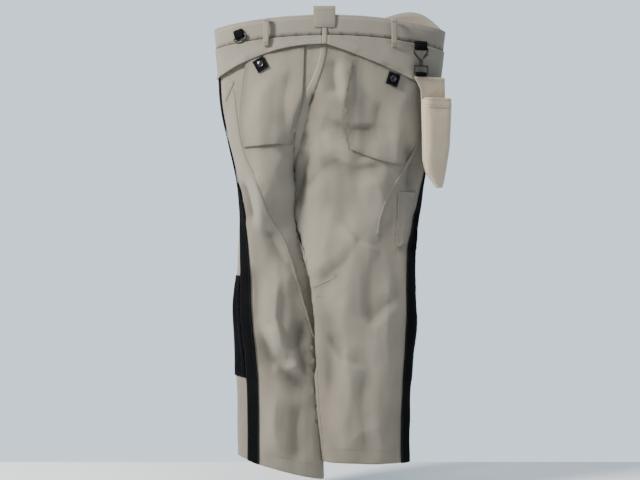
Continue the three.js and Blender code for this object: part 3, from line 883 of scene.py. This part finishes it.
def joint_line(a, b, sides, span):
    """The line between the facing cut edges of two nodes, from the top down, between two heights."""
    first, second = cut_edges(a)[sides[0]], cut_edges(b)[sides[1]]
    found = []
    for p in first:
        other = min(second, key=lambda q: (q - p).length)
        if span[0] <= p.z <= span[1]:
            found.append((p + other) / 2)
    found.sort(key=lambda p: -p.z)
    side = "left" if "left" in a and "left" in b else "right" if "right" in a and "right" in b else None
    if side:
        found = [p + Vector((closing(np.array([p]), side)[0], 0, 0)) for p in found]
    return curved(found, 5)


def sewn(line, surface, group, body=BODY, thread="tan_thread", step=None, cross=False, trim=0.0):
    """A row of stitches along a line, laid on a surface. With cross they lie across it, as in a bartack."""
    step = step or sizes().stitch
    width = sizes().thread
    length = 3.0 * MM if cross else step * 0.8
    row = bmesh.new()
    places = spaced(line, step)
    drop = int(trim / step)
    for point, way in places[drop : len(places) - drop]:
        out = facing_at(point)
        hit, normal, _, gap = surface.find_nearest(point + out * 7 * MM)
        if hit is None or gap > 30 * MM:
            continue
        if normal.dot(out) < 0:
            normal = -normal
        way = (way - normal * way.dot(normal)).normalized()
        over = normal.cross(way)
        if cross:
            way, over = over, way
        turn = Matrix((way * length / 2, over * width / 2, normal * width * 0.42)).transposed()
        place = Matrix.Translation(hit + normal * width * 0.12) @ turn.to_4x4()
        bmesh.ops.create_icosphere(row, subdivisions=1, radius=1.0, matrix=place)
    mesh = bpy.data.meshes.new("row")
    row.to_mesh(mesh)
    row.free()
    threads.setdefault((group, body, thread), []).append(mesh)


def sewn_edge(node, sides, group, depths, thread="tan_thread"):
    """Rows of stitches inside some of a piece's cut edges, at each depth in mm."""
    edges = cut_edges(node)
    for side in sides:
        for depth in depths:
            line = inset(edges, side, depth * MM)
            sewn(line, surfaces[node], group, body_of(node), thread, trim=depth * MM)


def bartack(point, way, surface, group, length):
    """A short dense block of stitches, its length in mm."""
    way = Vector(way).normalized() * length * MM / 2
    sewn([point - way, point + way], surface, group, step=0.75 * MM, cross=True)


def felled_seam(line, name, surface, width, thick=1.1 * MM, row=0.32):
    """A lapped seam laid over the meeting of two panels, with a row of stitches at each side."""
    steps = spaced(line, SEAM_STEP)
    proud = 2 * MM
    shape = bmesh.new()
    bmesh.ops.create_grid(shape, x_segments=len(steps) - 1, y_segments=4, size=0.5)

    def edge_point(place, over, share):
        probe = place + over * (share * width)
        return surface.find_nearest(probe + facing_at(probe) * 5 * MM)[0]

    frames = []
    for place, way in steps:
        over = way.cross(facing_at(place)).normalized()
        frames.append((edge_point(place, over, -0.5), edge_point(place, over, 0.5), facing_at(place)))
    smooth_frames = []
    for i in range(len(frames)):
        reach = min(3, i, len(frames) - 1 - i)
        near = frames[i - reach : i + reach + 1]
        smooth_frames.append([sum((f[k] for f in near), Vector()) / len(near) for k in range(3)])
    for vert in shape.verts:
        at = min(len(frames) - 1, round((vert.co.x + 0.5) * (len(frames) - 1)))
        share = vert.co.y + 0.5
        low, high, out = smooth_frames[at]
        crown = (1 - (2 * share - 1) ** 4) * thick
        out = out.normalized()
        place = low.lerp(high, share)
        cloth = surface.ray_cast(place + out * proud, -out, proud)[0]
        if cloth is not None:
            place = cloth
        vert.co = place + out * (crown + 0.15 * MM)
    bmesh.ops.recalc_face_normals(shape, faces=shape.faces)
    sample = next(iter(shape.faces))
    if sample.normal.dot(facing_at(sample.calc_center_median())) < 0:
        bmesh.ops.reverse_faces(shape, faces=shape.faces)
    obj = settled(shape, name, "tan_cloth")
    wall = obj.modifiers.new("Cloth", "SOLIDIFY")
    wall.thickness = thick
    wall.offset = -1
    baked(obj)
    obj.data.shade_smooth()
    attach(obj, BODY)
    made[name] = obj
    seam_points.extend(p for p, _ in steps)
    for share in (-row, row):
        track = []
        for place, way in steps:
            over = way.cross(facing_at(place)).normalized()
            track.append(place + over * (share * width))
        sewn(track, surface_of(obj), "seam")


def mark_edges(node, sides, step):
    """Notes points along a sewn piece's cut edges, for the pucker and the painted shade and painted shadow
    line on the cloth there.
    """
    edges = cut_edges(node)
    for side in sides:
        seam_points.extend(p for p, _ in spaced(edges[side], step * MM))


def seam_shade():
    """Marks the cloth near every seam and stitched edge, for its pucker and for the shade and shadow line
    painted into its colour.
    """
    tree = tree_of(seam_points)
    for name, obj in made.items():
        if not name.endswith("_cloth"):
            continue
        gaps = np.array([tree.find(v.co)[2] for v in obj.data.vertices])
        # the wider reach for the pucker and painted shade, the narrow one for a painted shadow line
        for key, reach in (("seam", SEAM_REACH), ("seam_foot_shadow", SEAM_FOOT_SHADOW_REACH)):
            with_values(obj.data, key, np.exp(-((gaps / reach) ** 2)))


def fitting(node, name, finish, bevel):
    """A moulded or cast fitting: the node's solid with its edges rounded by a bevel in mm."""
    shape = merged(node)
    bmesh.ops.dissolve_limit(shape, angle_limit=0.03, verts=shape.verts, edges=shape.edges)
    sharp = [e for e in shape.edges if len(e.link_faces) == 2 and e.calc_face_angle(0.0) > 0.45]
    bmesh.ops.bevel(
        shape,
        geom=sharp,
        offset=bevel * MM,
        offset_type="OFFSET",
        segments=3,
        profile=0.5,
        affect="EDGES",
        material=-1,
        clamp_overlap=True,
    )
    finished(settled(shape, name, finish), name, node)


def thin_axis(node):
    """A round node's foot, its thin direction facing out, its radius and its height."""
    points = points_of(frame["nodes"][node].data)
    points = np.unique(np.round(points, 6), axis=0)
    middle = (points.min(0) + points.max(0)) / 2
    _, vectors = np.linalg.eigh(np.cov((points - points.mean(0)).T))
    thin = Vector(vectors[:, 0])
    if thin.dot(facing_at(Vector(middle))) < 0:
        thin = -thin
    heights = points @ np.array(thin)
    radius = max((Vector(p) - Vector(middle)).cross(thin).length for p in points)
    centre = Vector(points.mean(0))
    centre += thin * (heights.min() - centre.dot(thin))
    return centre, thin, radius, heights.max() - heights.min()


def turned(node, profile, name, finish, steps=40):
    """A round fitting spun from a profile of shares of the node's radius and height."""
    foot, axis, radius, height = thin_axis(node)
    shape = bmesh.new()
    line = [shape.verts.new((r * radius, 0, h * height)) for r, h in profile]
    edges = [shape.edges.new(pair) for pair in zip(line[:-1], line[1:])]
    bmesh.ops.spin(
        shape,
        geom=line + edges,
        cent=(0, 0, 0),
        axis=(0, 0, 1),
        angle=2 * math.pi,
        steps=steps,
        use_merge=True,
    )
    bmesh.ops.remove_doubles(shape, verts=shape.verts, dist=1e-6)
    bmesh.ops.recalc_face_normals(shape, faces=shape.faces)
    turn = axis.to_track_quat("Z", "Y").to_matrix().to_4x4()
    bmesh.ops.transform(shape, matrix=Matrix.Translation(foot) @ turn, verts=shape.verts)
    finished(settled(shape, name, finish), name, node, 42)


# The edge of each panel that is sewn to the others down the middle and inside the leg
SEWN_EDGES = {
    "back_left_leg": "right",
    "back_right_leg": "left",
    "front_left_leg": "right",
    "front_right_leg": "left",
}


def drawn_to(piece, edge_line, goal_line, reach, share):
    """Draws a piece out near one of its edges, by a share of the way to another line."""
    edge, goal = tree_of([p for p, _ in spaced(edge_line, 6 * MM)]), tree_of(goal_line)
    for v in piece.data.vertices:
        start, _, gap = edge.find(v.co)
        end, _, far = goal.find(start)
        if gap < reach and far < reach:
            way = end - start
            way -= facing_at(start) * way.dot(facing_at(start))
            v.co += Vector((way.x, way.y, 0)) * (share * (1 - gap / reach))
    piece.data.update()


class TROUSERS_OT_legs(bpy.types.Operator):
    """Drapes the four leg panels and turns up the hems"""

    bl_idname = "trousers.legs"
    bl_label = "Legs"

    def execute(self, context):
        chart_cloth()
        for node in LEG_PANELS:
            piece = cloth_piece(node, f"{node}_cloth", "tan_cloth", 3)
        for node, edge in SEWN_EDGES.items():
            others = [p for n, e in SEWN_EDGES.items() if n != node for p in cut_edges(n)[e]]
            drawn_to(made[f"{node}_cloth"], cut_edges(node)[edge], others, JOIN_REACH, 0.5)
        for side in SIDES:
            node = f"{side}_hem"
            cloth_piece(node, f"{node}_cloth", "tan_cloth", 2)
        surfaces["legs"] = union(LEG_PANELS)
        for node in LEG_PANELS:
            sewn_edge(node, ["bottom"], "hem", (30, 33))
        return {"FINISHED"}


LEFT_STYLE_LINE = [
    (-222, -170),
    (-212, -246),
    (-200, -306),
    (-175, -366),
    (-133, -467),
    (-99, -530),
    (-64, -640),
    (-37, -740),
]
RIGHT_STYLE_LINE = [(214, -239), (202, -283), (170, -350), (138, -405), (117, -455), (110, -500)]
HIP_OPENING = [(-222, -150), (-231, -168), (-240, -188)]
THIGH_DART = [(-38, -620), (-12, -606), (12, -592)]


class TROUSERS_OT_seams(bpy.types.Operator):
    """Lays the felled seams down the seat, the inside legs and the styling lines"""

    bl_idname = "trousers.seams"
    bl_label = "Seams"

    def execute(self, context):
        legs = surfaces["legs"]
        seat = joint_line("back_left_leg", "back_right_leg", ("right", "left"), SEAT_SPAN)
        felled_seam(seat, "seat_seam", legs, 16 * MM)
        for side, edge in OPPOSITE_SIDES:
            inside = joint_line(f"back_{side}_leg", f"front_{side}_leg", (edge, edge), INSIDE_LEG_SPAN)
            felled_seam(inside, f"{side}_inside_leg_seam", legs, 9 * MM)
        crotch = joint_line("front_left_leg", "front_right_leg", ("right", "left"), CROTCH_SPAN)
        felled_seam(crotch, "front_crotch_seam", legs, 11 * MM)
        for line, name, width, thick, row in (
            (LEFT_STYLE_LINE, "left_styling_seam", 8 * MM, 0.8 * MM, 0.32),
            (RIGHT_STYLE_LINE, "right_styling_seam", 8 * MM, 0.8 * MM, 0.32),
            (THIGH_DART, "thigh_dart_seam", 5 * MM, 0.6 * MM, 0.3),
            (HIP_OPENING, "hip_opening_welt", 7 * MM, 1.2 * MM, 0.3),
        ):
            felled_seam(on_cloth(line, legs), name, legs, width, thick, row)
        bartack(on_cloth([(-30, -642), (-18, -641)], legs)[4], (1, 0, 0.1), legs, "seam", 14)
        fly = on_cloth([(36, -60), (37, -150), (31, -200), (8, -238)], legs, FRONT)
        sewn(fly, legs, "fly")
        seam_points.extend(fly)
        return {"FINISHED"}


class TROUSERS_OT_waist(bpy.types.Operator):
    """Sews on the waistband, the yoke, the belt loops and the hang loop"""

    bl_idname = "trousers.waist"
    bl_label = "Waist"

    def execute(self, context):
        for node in BANDS:
            cloth_piece(node, f"{node}_cloth", "tan_trim", 2, 0.3 * MM)
            sewn_edge(node, ["top"], "waistband", (3.5,))
            sewn_edge(node, ["bottom"], "waistband", (3.0,))
            seam_points.extend(cut_edges(node)["bottom"])
        for side in SIDES:
            node = f"yoke_{side}"
            piece = cloth_piece(node, f"{node}_cloth", "tan_trim", 3, 0.9 * MM)
            lower = cut_edges(node)["bottom"]
            flare(piece, lower, sizes().yoke_gape)
            # points just below the yoke's lower edge, so the cloth under it gets painted shade and a painted
            # shadow line for the shadow of the gape
            seam_points.extend(p - UP * 1.5 * MM for p, _ in spaced(lower, 3 * MM))
            surfaces[node] = surface_of(piece)
            sewn_edge(node, ["bottom"], "yoke", (2.5, 8.5))
        for node in [f"belt_loop_{place}_{side}" for place in ("back", "front", "side") for side in SIDES]:
            cloth_piece(node, f"{node}_cloth", "tan_trim", 2, 0.2 * MM, rim=0.7)
            low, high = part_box(node)
            middle = (low + high) / 2
            out = facing_at(middle)
            flat = out.cross(UP).normalized()
            for z in (low.z + 5 * MM, high.z - 5 * MM):
                place = Vector((middle.x, middle.y, z)) + out * 5 * MM
                bartack(place, flat, surfaces[node], "belt_loop", 10)
        tops = ("waistband_back", "yoke")
        near, far = [
            sorted((p for top in tops for p in cut_edges(f"{top}_{side}")[edge]), key=lambda p: -p.z)
            for side, edge in OPPOSITE_SIDES
        ]
        track = [(p + min(far, key=lambda q: (q - p).length)) / 2 for p in near]
        seat_top = union([f"{top}_{side}" for top in tops for side in SIDES])
        felled_seam(track, "waist_seam", seat_top, 12 * MM, 0.9 * MM)
        cloth_piece("hang_loop", "hang_loop_cloth", "tan_trim", 2, rim=0.7)
        low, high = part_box("hang_loop")
        for z in HANG_LOOP_ROWS:
            track = [Vector((x, low.y - 2 * MM, z)) for x in (low.x + 3 * MM, high.x - 3 * MM)]
            sewn(track, surfaces["hang_loop"], "hang_loop")
        return {"FINISHED"}


def flare(obj, line, depth):
    """Lifts a piece off the cloth towards one of its edges."""
    tree = tree_of([p for p, _ in spaced(line, 4 * MM)])
    for v in obj.data.vertices:
        gap = tree.find(v.co)[2]
        near = max(0.0, 1 - gap / (26 * MM))
        free = float(smoothstep(np.array([drape["held"].find(v.co)[2]]), 6 * MM, 30 * MM)[0])
        v.co += facing_at(v.co) * (depth * near * near * free)
    obj.data.update()


class TROUSERS_OT_pockets(bpy.types.Operator):
    """Sews on the seat pockets, the hip pockets and the rule pocket"""

    bl_idname = "trousers.pockets"
    bl_label = "Pockets"

    def execute(self, context):
        for side in SIDES:
            node = f"{side}_back_pocket"
            cloth_piece(node, f"{node}_cloth", "tan_cloth", 3, 0.5 * MM)
            sewn_edge(node, ["left", "right"], "seat_pocket", (2.5, 8.0))
            rows = (2.5, 8.0, 16.0) if side == "left" else (2.5, 8.0)
            sewn_edge(node, ["bottom"], "seat_pocket", rows)
            mark_edges(node, ("left", "bottom"), 4)
        for side in SIDES:
            node = f"{side}_front_pocket"
            cloth_piece(node, f"{node}_cloth", "tan_cloth", 3, 0.5 * MM)
            sewn_edge(node, ["left", "right", "bottom"], "hip_pocket", (2.5, 8.0))
            mark_edges(node, ("left", "right", "bottom"), 6)
        node = "right_thigh_pocket"
        cloth_piece(node, f"{node}_cloth", "tan_cloth", 3, 0.5 * MM)
        sewn_edge(node, ["left", "right", "bottom"], "rule_pocket", (2.2,))
        mark_edges(node, ("left", "right", "bottom"), 6)
        low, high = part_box(node)
        place = Vector(((low.x + high.x) / 2, low.y, RULE_POCKET_TACK))
        bartack(place, (1, 0, 0), surfaces[node], "rule_pocket", 13)
        top = cut_edges(node)["top"]
        for at in (0.15, 0.85):
            place = top[min(len(top) - 1, int(at * len(top)))]
            bartack(place - UP * 3 * MM, (1, 0, 0), surfaces[node], "rule_pocket", 5)
        return {"FINISHED"}


class TROUSERS_OT_tapes(bpy.types.Operator):
    """Sews the black tapes down the sides and the knee patches on the fronts"""

    bl_idname = "trousers.tapes"
    bl_label = "Tapes and knees"

    def execute(self, context):
        for side in SIDES:
            node = f"{side}_side_tape"
            cloth_piece(node, f"{node}_cloth", "black_webbing", 2, 0.5 * MM)
            sewn_edge(node, ["left", "right"], "tape", (2.0,), "black_thread")
            tape_edges = cut_edges(node)
            node = f"{side}_knee_patch"
            cloth = "black_knee_cloth"
            patch = cloth_piece(node, f"{node}_cloth", cloth, 3, 0.8 * MM)
            line = [p for edge in ("left", "right") for p, _ in spaced(tape_edges[edge], 6 * MM)]
            drawn_to(patch, cut_edges(node)[side], line, PATCH_REACH, 1.0)
            sewn_edge(node, ["left", "right", "top", "bottom"], "knee_patch", (2.5, 8.0), "black_thread")
        return {"FINISHED"}


CAP_PROFILE = [
    (0.0, 0.0),
    (0.97, 0.0),
    (1.0, 0.1),
    (1.0, 0.45),
    (0.96, 0.68),
    (0.87, 0.8),
    (0.8, 0.74),
    (0.76, 0.66),
    (0.7, 0.7),
    (0.55, 0.86),
    (0.35, 0.96),
    (0.16, 1.0),
    (0.0, 1.0),
]
STUD_PROFILE = [
    (0.0, 0.0),
    (0.94, 0.0),
    (1.0, 0.12),
    (0.96, 0.34),
    (0.66, 0.42),
    (0.56, 0.55),
    (0.6, 0.82),
    (0.52, 0.98),
    (0.3, 1.0),
    (0.22, 0.86),
    (0.0, 0.86),
]
BUTTON_PROFILE = [
    (0.0, 0.0),
    (0.44, 0.0),
    (0.46, 0.36),
    (0.9, 0.48),
    (1.0, 0.6),
    (1.0, 0.8),
    (0.94, 0.92),
    (0.82, 0.9),
    (0.76, 0.84),
    (0.66, 0.94),
    (0.4, 1.0),
    (0.0, 1.0),
]


class TROUSERS_OT_snaps(bpy.types.Operator):
    """Makes the pocket tabs, their snaps and the waist tongue with its button"""

    bl_idname = "trousers.snaps"
    bl_label = "Tabs, snaps and button"

    def execute(self, context):
        for side in SIDES:
            node = f"{side}_pocket_tab"
            cloth_piece(node, f"{node}_cloth", "black_webbing", 2, rim=0.6, folds=False)
            sewn_edge(node, ["left", "right", "bottom", "top"], "pocket_tab", (2.2,), "black_thread")
            turned(f"{side}_snap_cap", CAP_PROFILE, f"{side}_snap_dome", "gunmetal")
            turned(f"{side}_snap_stud", STUD_PROFILE, f"{side}_snap_post", "nickel", 28)
        cloth_piece("waist_tongue", "waist_tongue_cloth", "tan_trim", 2, folds=False)
        sewn_edge("waist_tongue", ["left", "top", "bottom"], "tongue", (2.5,))
        turned("waist_button", BUTTON_PROFILE, "waist_shank_button", "nickel")
        return {"FINISHED"}


class TROUSERS_OT_fittings(bpy.types.Operator):
    """Makes the ring, the snap hook, their webbings and the swivel"""

    bl_idname = "trousers.fittings"
    bl_label = "Ring and hook"

    def execute(self, context):
        for node in ("left_ring_webbing", "right_hook_webbing"):
            cloth_piece(node, f"{node}_cloth", "black_webbing", 2, rim=0.6, folds=False)
            low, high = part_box(node)
            out = facing_at((low + high) / 2)
            over = out.cross(UP).normalized()
            middle = (low + high) / 2 + out * 8 * MM
            for z in (high.z - 3 * MM, high.z - 9 * MM):
                track = [Vector((*(middle + over * reach).xy, z)) for reach in (-9 * MM, 9 * MM)]
                sewn(track, surfaces[node], "webbing", BODY, "black_thread")
        for node, name, bevel in (
            ("left_d_ring", "left_d_ring_moulding", 1.1),
            ("hook_body", "hook_moulding", 0.9),
            ("hook_gate", "hook_gate_moulding", 0.6),
            ("hook_swivel_eye", "hook_swivel_moulding", 0.9),
        ):
            fitting(node, name, "black_plastic", bevel)
        return {"FINISHED"}


class TROUSERS_OT_zip(bpy.types.Operator):
    """Makes the zip's tape, teeth, slider and pull, and the placket beside it"""

    bl_idname = "trousers.zip"
    bl_label = "Zip"

    def execute(self, context):
        cloth_piece("zip_chain", "zip_tape_cloth", "black_webbing", 2, folds=False)
        cloth_piece("fly_placket", "fly_placket_cloth", "tan_trim", 3, 0.3 * MM)
        sewn_edge("fly_placket", ["left", "right", "bottom"], "fly", (2.5,))
        points = points_of(made["zip_tape_cloth"].data)
        teeth = bmesh.new()
        low, high = points[:, 2].min() + 2 * MM, points[:, 2].max() - 2 * MM
        for i in range(int((high - low) / TOOTH_PITCH)):
            z = low + i * TOOTH_PITCH
            near = points[np.abs(points[:, 2] - z) < 9 * MM]
            x = near[:, 0].mean()
            y = near[:, 1].max()
            side = 1 if i % 2 else -1
            size = Matrix.Diagonal((3.0 * MM, 1.1 * MM, 1.05 * MM, 1))
            place = Matrix.Translation((x + side * 0.7 * MM, y + 0.35 * MM, z))
            bmesh.ops.create_cube(teeth, size=1.0, matrix=place @ size)
        obj = settled(teeth, "zip_teeth", "nickel")
        edge = obj.modifiers.new("Edge", "BEVEL")
        edge.width = 0.18 * MM
        edge.segments = 1
        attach(obj, BODY)
        made["zip_teeth"] = obj
        fitting("zip_slider", "zip_slider_casting", "nickel", 0.5)
        fitting("zip_pull", "zip_pull_casting", "nickel", 0.35)
        return {"FINISHED"}


# Edges of the holster, as height and place across, and the depth of its bag, in its own mm
HOLSTER_LEFT = [(-80, -17), (-110, 0), (-180, 2), (-270, 4), (-300, 12), (-318, 26), (-333, 38)]
HOLSTER_RIGHT = [(-80, 60), (-131, 61), (-150, 68), (-240, 64), (-333, 50)]
BAG_LEFT = [(-132, 1), *HOLSTER_LEFT[2:]]
BAG_RIGHT = [(-132, 67), *HOLSTER_RIGHT[2:]]
BAG_DEEP = [(-132, 26), (-200, 25), (-270, 22), (-312, 16), (-333, 9)]
BAG_BLUNT = 0.32  # how square the bag's corners are: 1 is round
HOLSTER_TOP = -80
BAG_TOP = -132
BAG_LOW = -333
FACING_LOW = -152


def line_at(line, z):
    """A width at a height, from a list of height and width, both in mm."""
    rows = sorted(line)
    return float(np.interp(z, [r[0] for r in rows], [r[1] for r in rows]))


def holster_frame():
    """The matrix from the holster's own x, y and z in mm to the frame."""
    points = points_of(frame["nodes"]["holster_back"].data)
    flat = points[:, :2] - points[:, :2].mean(0)
    _, vectors = np.linalg.eigh(np.cov(flat.T))
    over = Vector((*vectors[:, 1], 0))
    if over.x < 0:
        over = -over
    inward = UP.cross(over)
    along = points @ np.array(over)
    through = points @ np.array(inward)
    top = points[:, 2].max()
    start = over * (along.min() + 17 * MM)
    start += inward * (through.mean() - 2 * MM)
    start += UP * (top - HOLSTER_TOP * MM)
    turn = Matrix((over * MM, inward * MM, UP * MM)).transposed().to_4x4()
    return Matrix.Translation(start) @ turn


def holster_part(name, node, finish, cells, place, wall):
    """A holster panel from a grid laid by place(u, v) in the holster's own mm."""
    home = holster_frame()
    shape = bmesh.new()
    bmesh.ops.create_grid(shape, x_segments=cells[0], y_segments=cells[1], size=0.5)
    for vert in shape.verts:
        spot = Vector(place(vert.co.x + 0.5, vert.co.y + 0.5))
        rough = noise.noise(spot * 0.03) * 1.5 + noise.noise(spot * 0.075) * 0.5
        spot.y += rough * 0.6
        vert.co = home @ spot
    bmesh.ops.remove_doubles(shape, verts=shape.verts, dist=2e-5)
    bmesh.ops.recalc_face_normals(shape, faces=shape.faces)
    obj = settled(shape, name, finish)
    thick = obj.modifiers.new("Cloth", "SOLIDIFY")
    thick.thickness = wall * MM
    thick.offset = 0.0
    rounded(obj, 1)
    baked(obj)
    surfaces[node] = surface_of(obj)
    finished(obj, name, node, 60)


def bag_place(u, v):
    """A place on the bag's wall: u runs from the back's left edge round the front to its right."""
    z = BAG_LOW + (BAG_TOP - BAG_LOW) * v
    left, right, deep = line_at(BAG_LEFT, z), line_at(BAG_RIGHT, z), line_at(BAG_DEEP, z)
    angle = math.pi * u
    reach = (right - left) / 2
    cosine, sine = math.cos(angle), math.sin(angle)
    x = (left + right) / 2 - reach * math.copysign(abs(cosine) ** BAG_BLUNT, cosine)
    y = 0.6 - deep * abs(sine) ** (BAG_BLUNT * 1.6)
    bulge = 1.6 * math.sin(math.pi * u) * math.sin(math.pi * min(1.0, v * 1.1))
    return (x, y - bulge, z)


class TROUSERS_OT_holster(bpy.types.Operator):
    """Makes the clip-on holster: its strap, back, bag and facing"""

    bl_idname = "trousers.holster"
    bl_label = "Holster"

    def execute(self, context):
        strap = "holster_strap"
        cloth_piece(strap, f"{strap}_cloth", "black_webbing", 2, rim=0.6, folds=False)

        def back(u, v):
            z = BAG_LOW + (HOLSTER_TOP - BAG_LOW) * v
            left, right = line_at(HOLSTER_LEFT, z), line_at(HOLSTER_RIGHT, z)
            return (left + (right - left) * u, 2.0, z)

        def facing(u, v):
            z = FACING_LOW + (BAG_TOP + 1.5 - FACING_LOW) * v
            x, y, _ = bag_place(0.08 + 0.84 * u, (z - BAG_LOW) / (BAG_TOP - BAG_LOW))
            return (x, y - 1.6, z)

        for node, slot, cells, place, wall in (
            ("holster_back", "tan_cloth", (20, 56), back, 1.6),
            ("holster_bag", "tan_cloth", (56, 56), bag_place, 1.6),
            ("holster_facing", "tan_trim", (40, 8), facing, 1.2),
        ):
            holster_part(f"{node}_cloth", node, "holster_cloth", cells, place, wall)
        home = holster_frame()

        def track(line, node):
            points = curved([home @ Vector(p) for p in line], 6)
            sewn(points, surfaces[node], "holster", "holster")

        for z in (-135, -147):
            track([facing(i / 10, (z - FACING_LOW) / 21.5) for i in range(11)], "holster_facing")
        for gap in (3.5, 9):
            track([(line_at(HOLSTER_LEFT, z) + gap, 0, z) for z in (-84, -96, -110, -128)], "holster_back")
            track([(line_at(HOLSTER_RIGHT, z) - gap, 0, z) for z in (-86, -100, -116, -128)], "holster_back")
            track([(x, 0, -83 - gap * 0.6) for x in (-10, 15, 40, 56)], "holster_back")
        for u in (0.1, 0.9, 0.14, 0.86):
            track([bag_place(u, v) for v in (0.98, 0.8, 0.6, 0.4, 0.2, 0.06)], "holster_bag")
        return {"FINISHED"}


class TROUSERS_OT_stitching(bpy.types.Operator):
    """Gathers the rows of stitches into one piece for each group and shades the seams"""

    bl_idname = "trousers.stitching"
    bl_label = "Stitching"

    def execute(self, context):
        seam_shade()
        for (group, body, thread), rows in threads.items():
            shape = bmesh.new()
            for mesh in rows:
                shape.from_mesh(mesh)
                bpy.data.meshes.remove(mesh)
            shade = "black" if thread == "black_thread" else "tan"
            obj = settled(shape, f"{group}_{body}_{shade}_stitches", thread)
            obj.data.shade_smooth()
            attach(obj, body)
        return {"FINISHED"}


class TROUSERS_OT_studio(bpy.types.Operator):
    """Sets the floor, the soft lights and the camera"""

    bl_idname = "trousers.studio"
    bl_label = "Studio"

    def execute(self, context):
        scene = context.scene
        shape = bmesh.new()
        bmesh.ops.create_grid(shape, x_segments=2, y_segments=2, size=1.0)
        low = CAD_BOX[0].z - FLOOR_GAP
        spread = Matrix.Translation((0, -1.65, low)) @ Matrix.Diagonal((4.0, 2.1, 1.0, 1.0))
        bmesh.ops.transform(shape, matrix=spread, verts=shape.verts)
        floor = settled(shape, "floor", "floor")
        world = bpy.data.worlds.new("Studio air")
        world.use_nodes = True
        nodes, links = world.node_tree.nodes, world.node_tree.links
        air = nodes["Background"]
        heading = nodes.new("ShaderNodeTexCoord")
        axes = nodes.new("ShaderNodeSeparateXYZ")
        wall = nodes.new("ShaderNodeMapRange")
        wall.interpolation_type = "SMOOTHSTEP"
        for key, value in AIR_RANGE.items():
            wall.inputs[key].default_value = value
        links.new(heading.outputs["Generated"], axes.inputs[0])
        links.new(axes.outputs["Y"], wall.inputs["Value"])
        links.new(wall.outputs[0], air.inputs["Strength"])
        air.inputs["Color"].default_value = AIR_COLOUR
        scene.world = world
        for name, place, size, power, tint in LAMPS:
            light = bpy.data.lights.new(name, "AREA")
            light.shape = "DISK"
            light.size = size
            light.energy = power
            light.color = tint
            lamp = bpy.data.objects.new(name, light)
            lamp.location = place
            lamp.rotation_euler = (LAMP_TARGET - Vector(place)).to_track_quat("-Z", "Y").to_euler()
            scene.collection.objects.link(lamp)
        lens = bpy.data.cameras.new("camera")
        lens.lens = LENS
        camera = bpy.data.objects.new("camera", lens)
        camera.location = CAMERA_AT
        camera.rotation_euler = (math.pi / 2, 0, 0)
        scene.collection.objects.link(camera)
        scene.camera = camera
        return {"FINISHED"}


STEPS = (
    TROUSERS_OT_legs,
    TROUSERS_OT_seams,
    TROUSERS_OT_waist,
    TROUSERS_OT_pockets,
    TROUSERS_OT_tapes,
    TROUSERS_OT_snaps,
    TROUSERS_OT_fittings,
    TROUSERS_OT_zip,
    TROUSERS_OT_holster,
    TROUSERS_OT_stitching,
    TROUSERS_OT_studio,
)


class TROUSERS_PT_sewing(bpy.types.Panel):
    """Lists the sizes, the colours and the steps of making the trousers"""

    bl_idname = "TROUSERS_PT_sewing"
    bl_label = "Work trousers"
    bl_space_type = "VIEW_3D"
    bl_region_type = "UI"
    bl_category = "Trousers"

    def draw(self, context):
        layout = self.layout
        for group in (context.scene.trouser_sizes, context.scene.trouser_colours):
            box = layout.box()
            for key in type(group).__annotations__:
                box.prop(group, key)
        for step in STEPS:
            layout.operator(step.bl_idname)


CLASSES = (TrouserSizes, TrouserColours, *STEPS, TROUSERS_PT_sewing)


def register():
    for part in CLASSES:
        bpy.utils.register_class(part)
    bpy.types.Scene.trouser_sizes = bpy.props.PointerProperty(type=TrouserSizes)
    bpy.types.Scene.trouser_colours = bpy.props.PointerProperty(type=TrouserColours)


def unregister():
    del bpy.types.Scene.trouser_sizes
    del bpy.types.Scene.trouser_colours
    for part in reversed(CLASSES):
        bpy.utils.unregister_class(part)


def main():
    register()
    for step in STEPS:
        group, action = step.bl_idname.split(".")
        getattr(getattr(bpy.ops, group), action)()


if __name__ == "__main__":
    main()
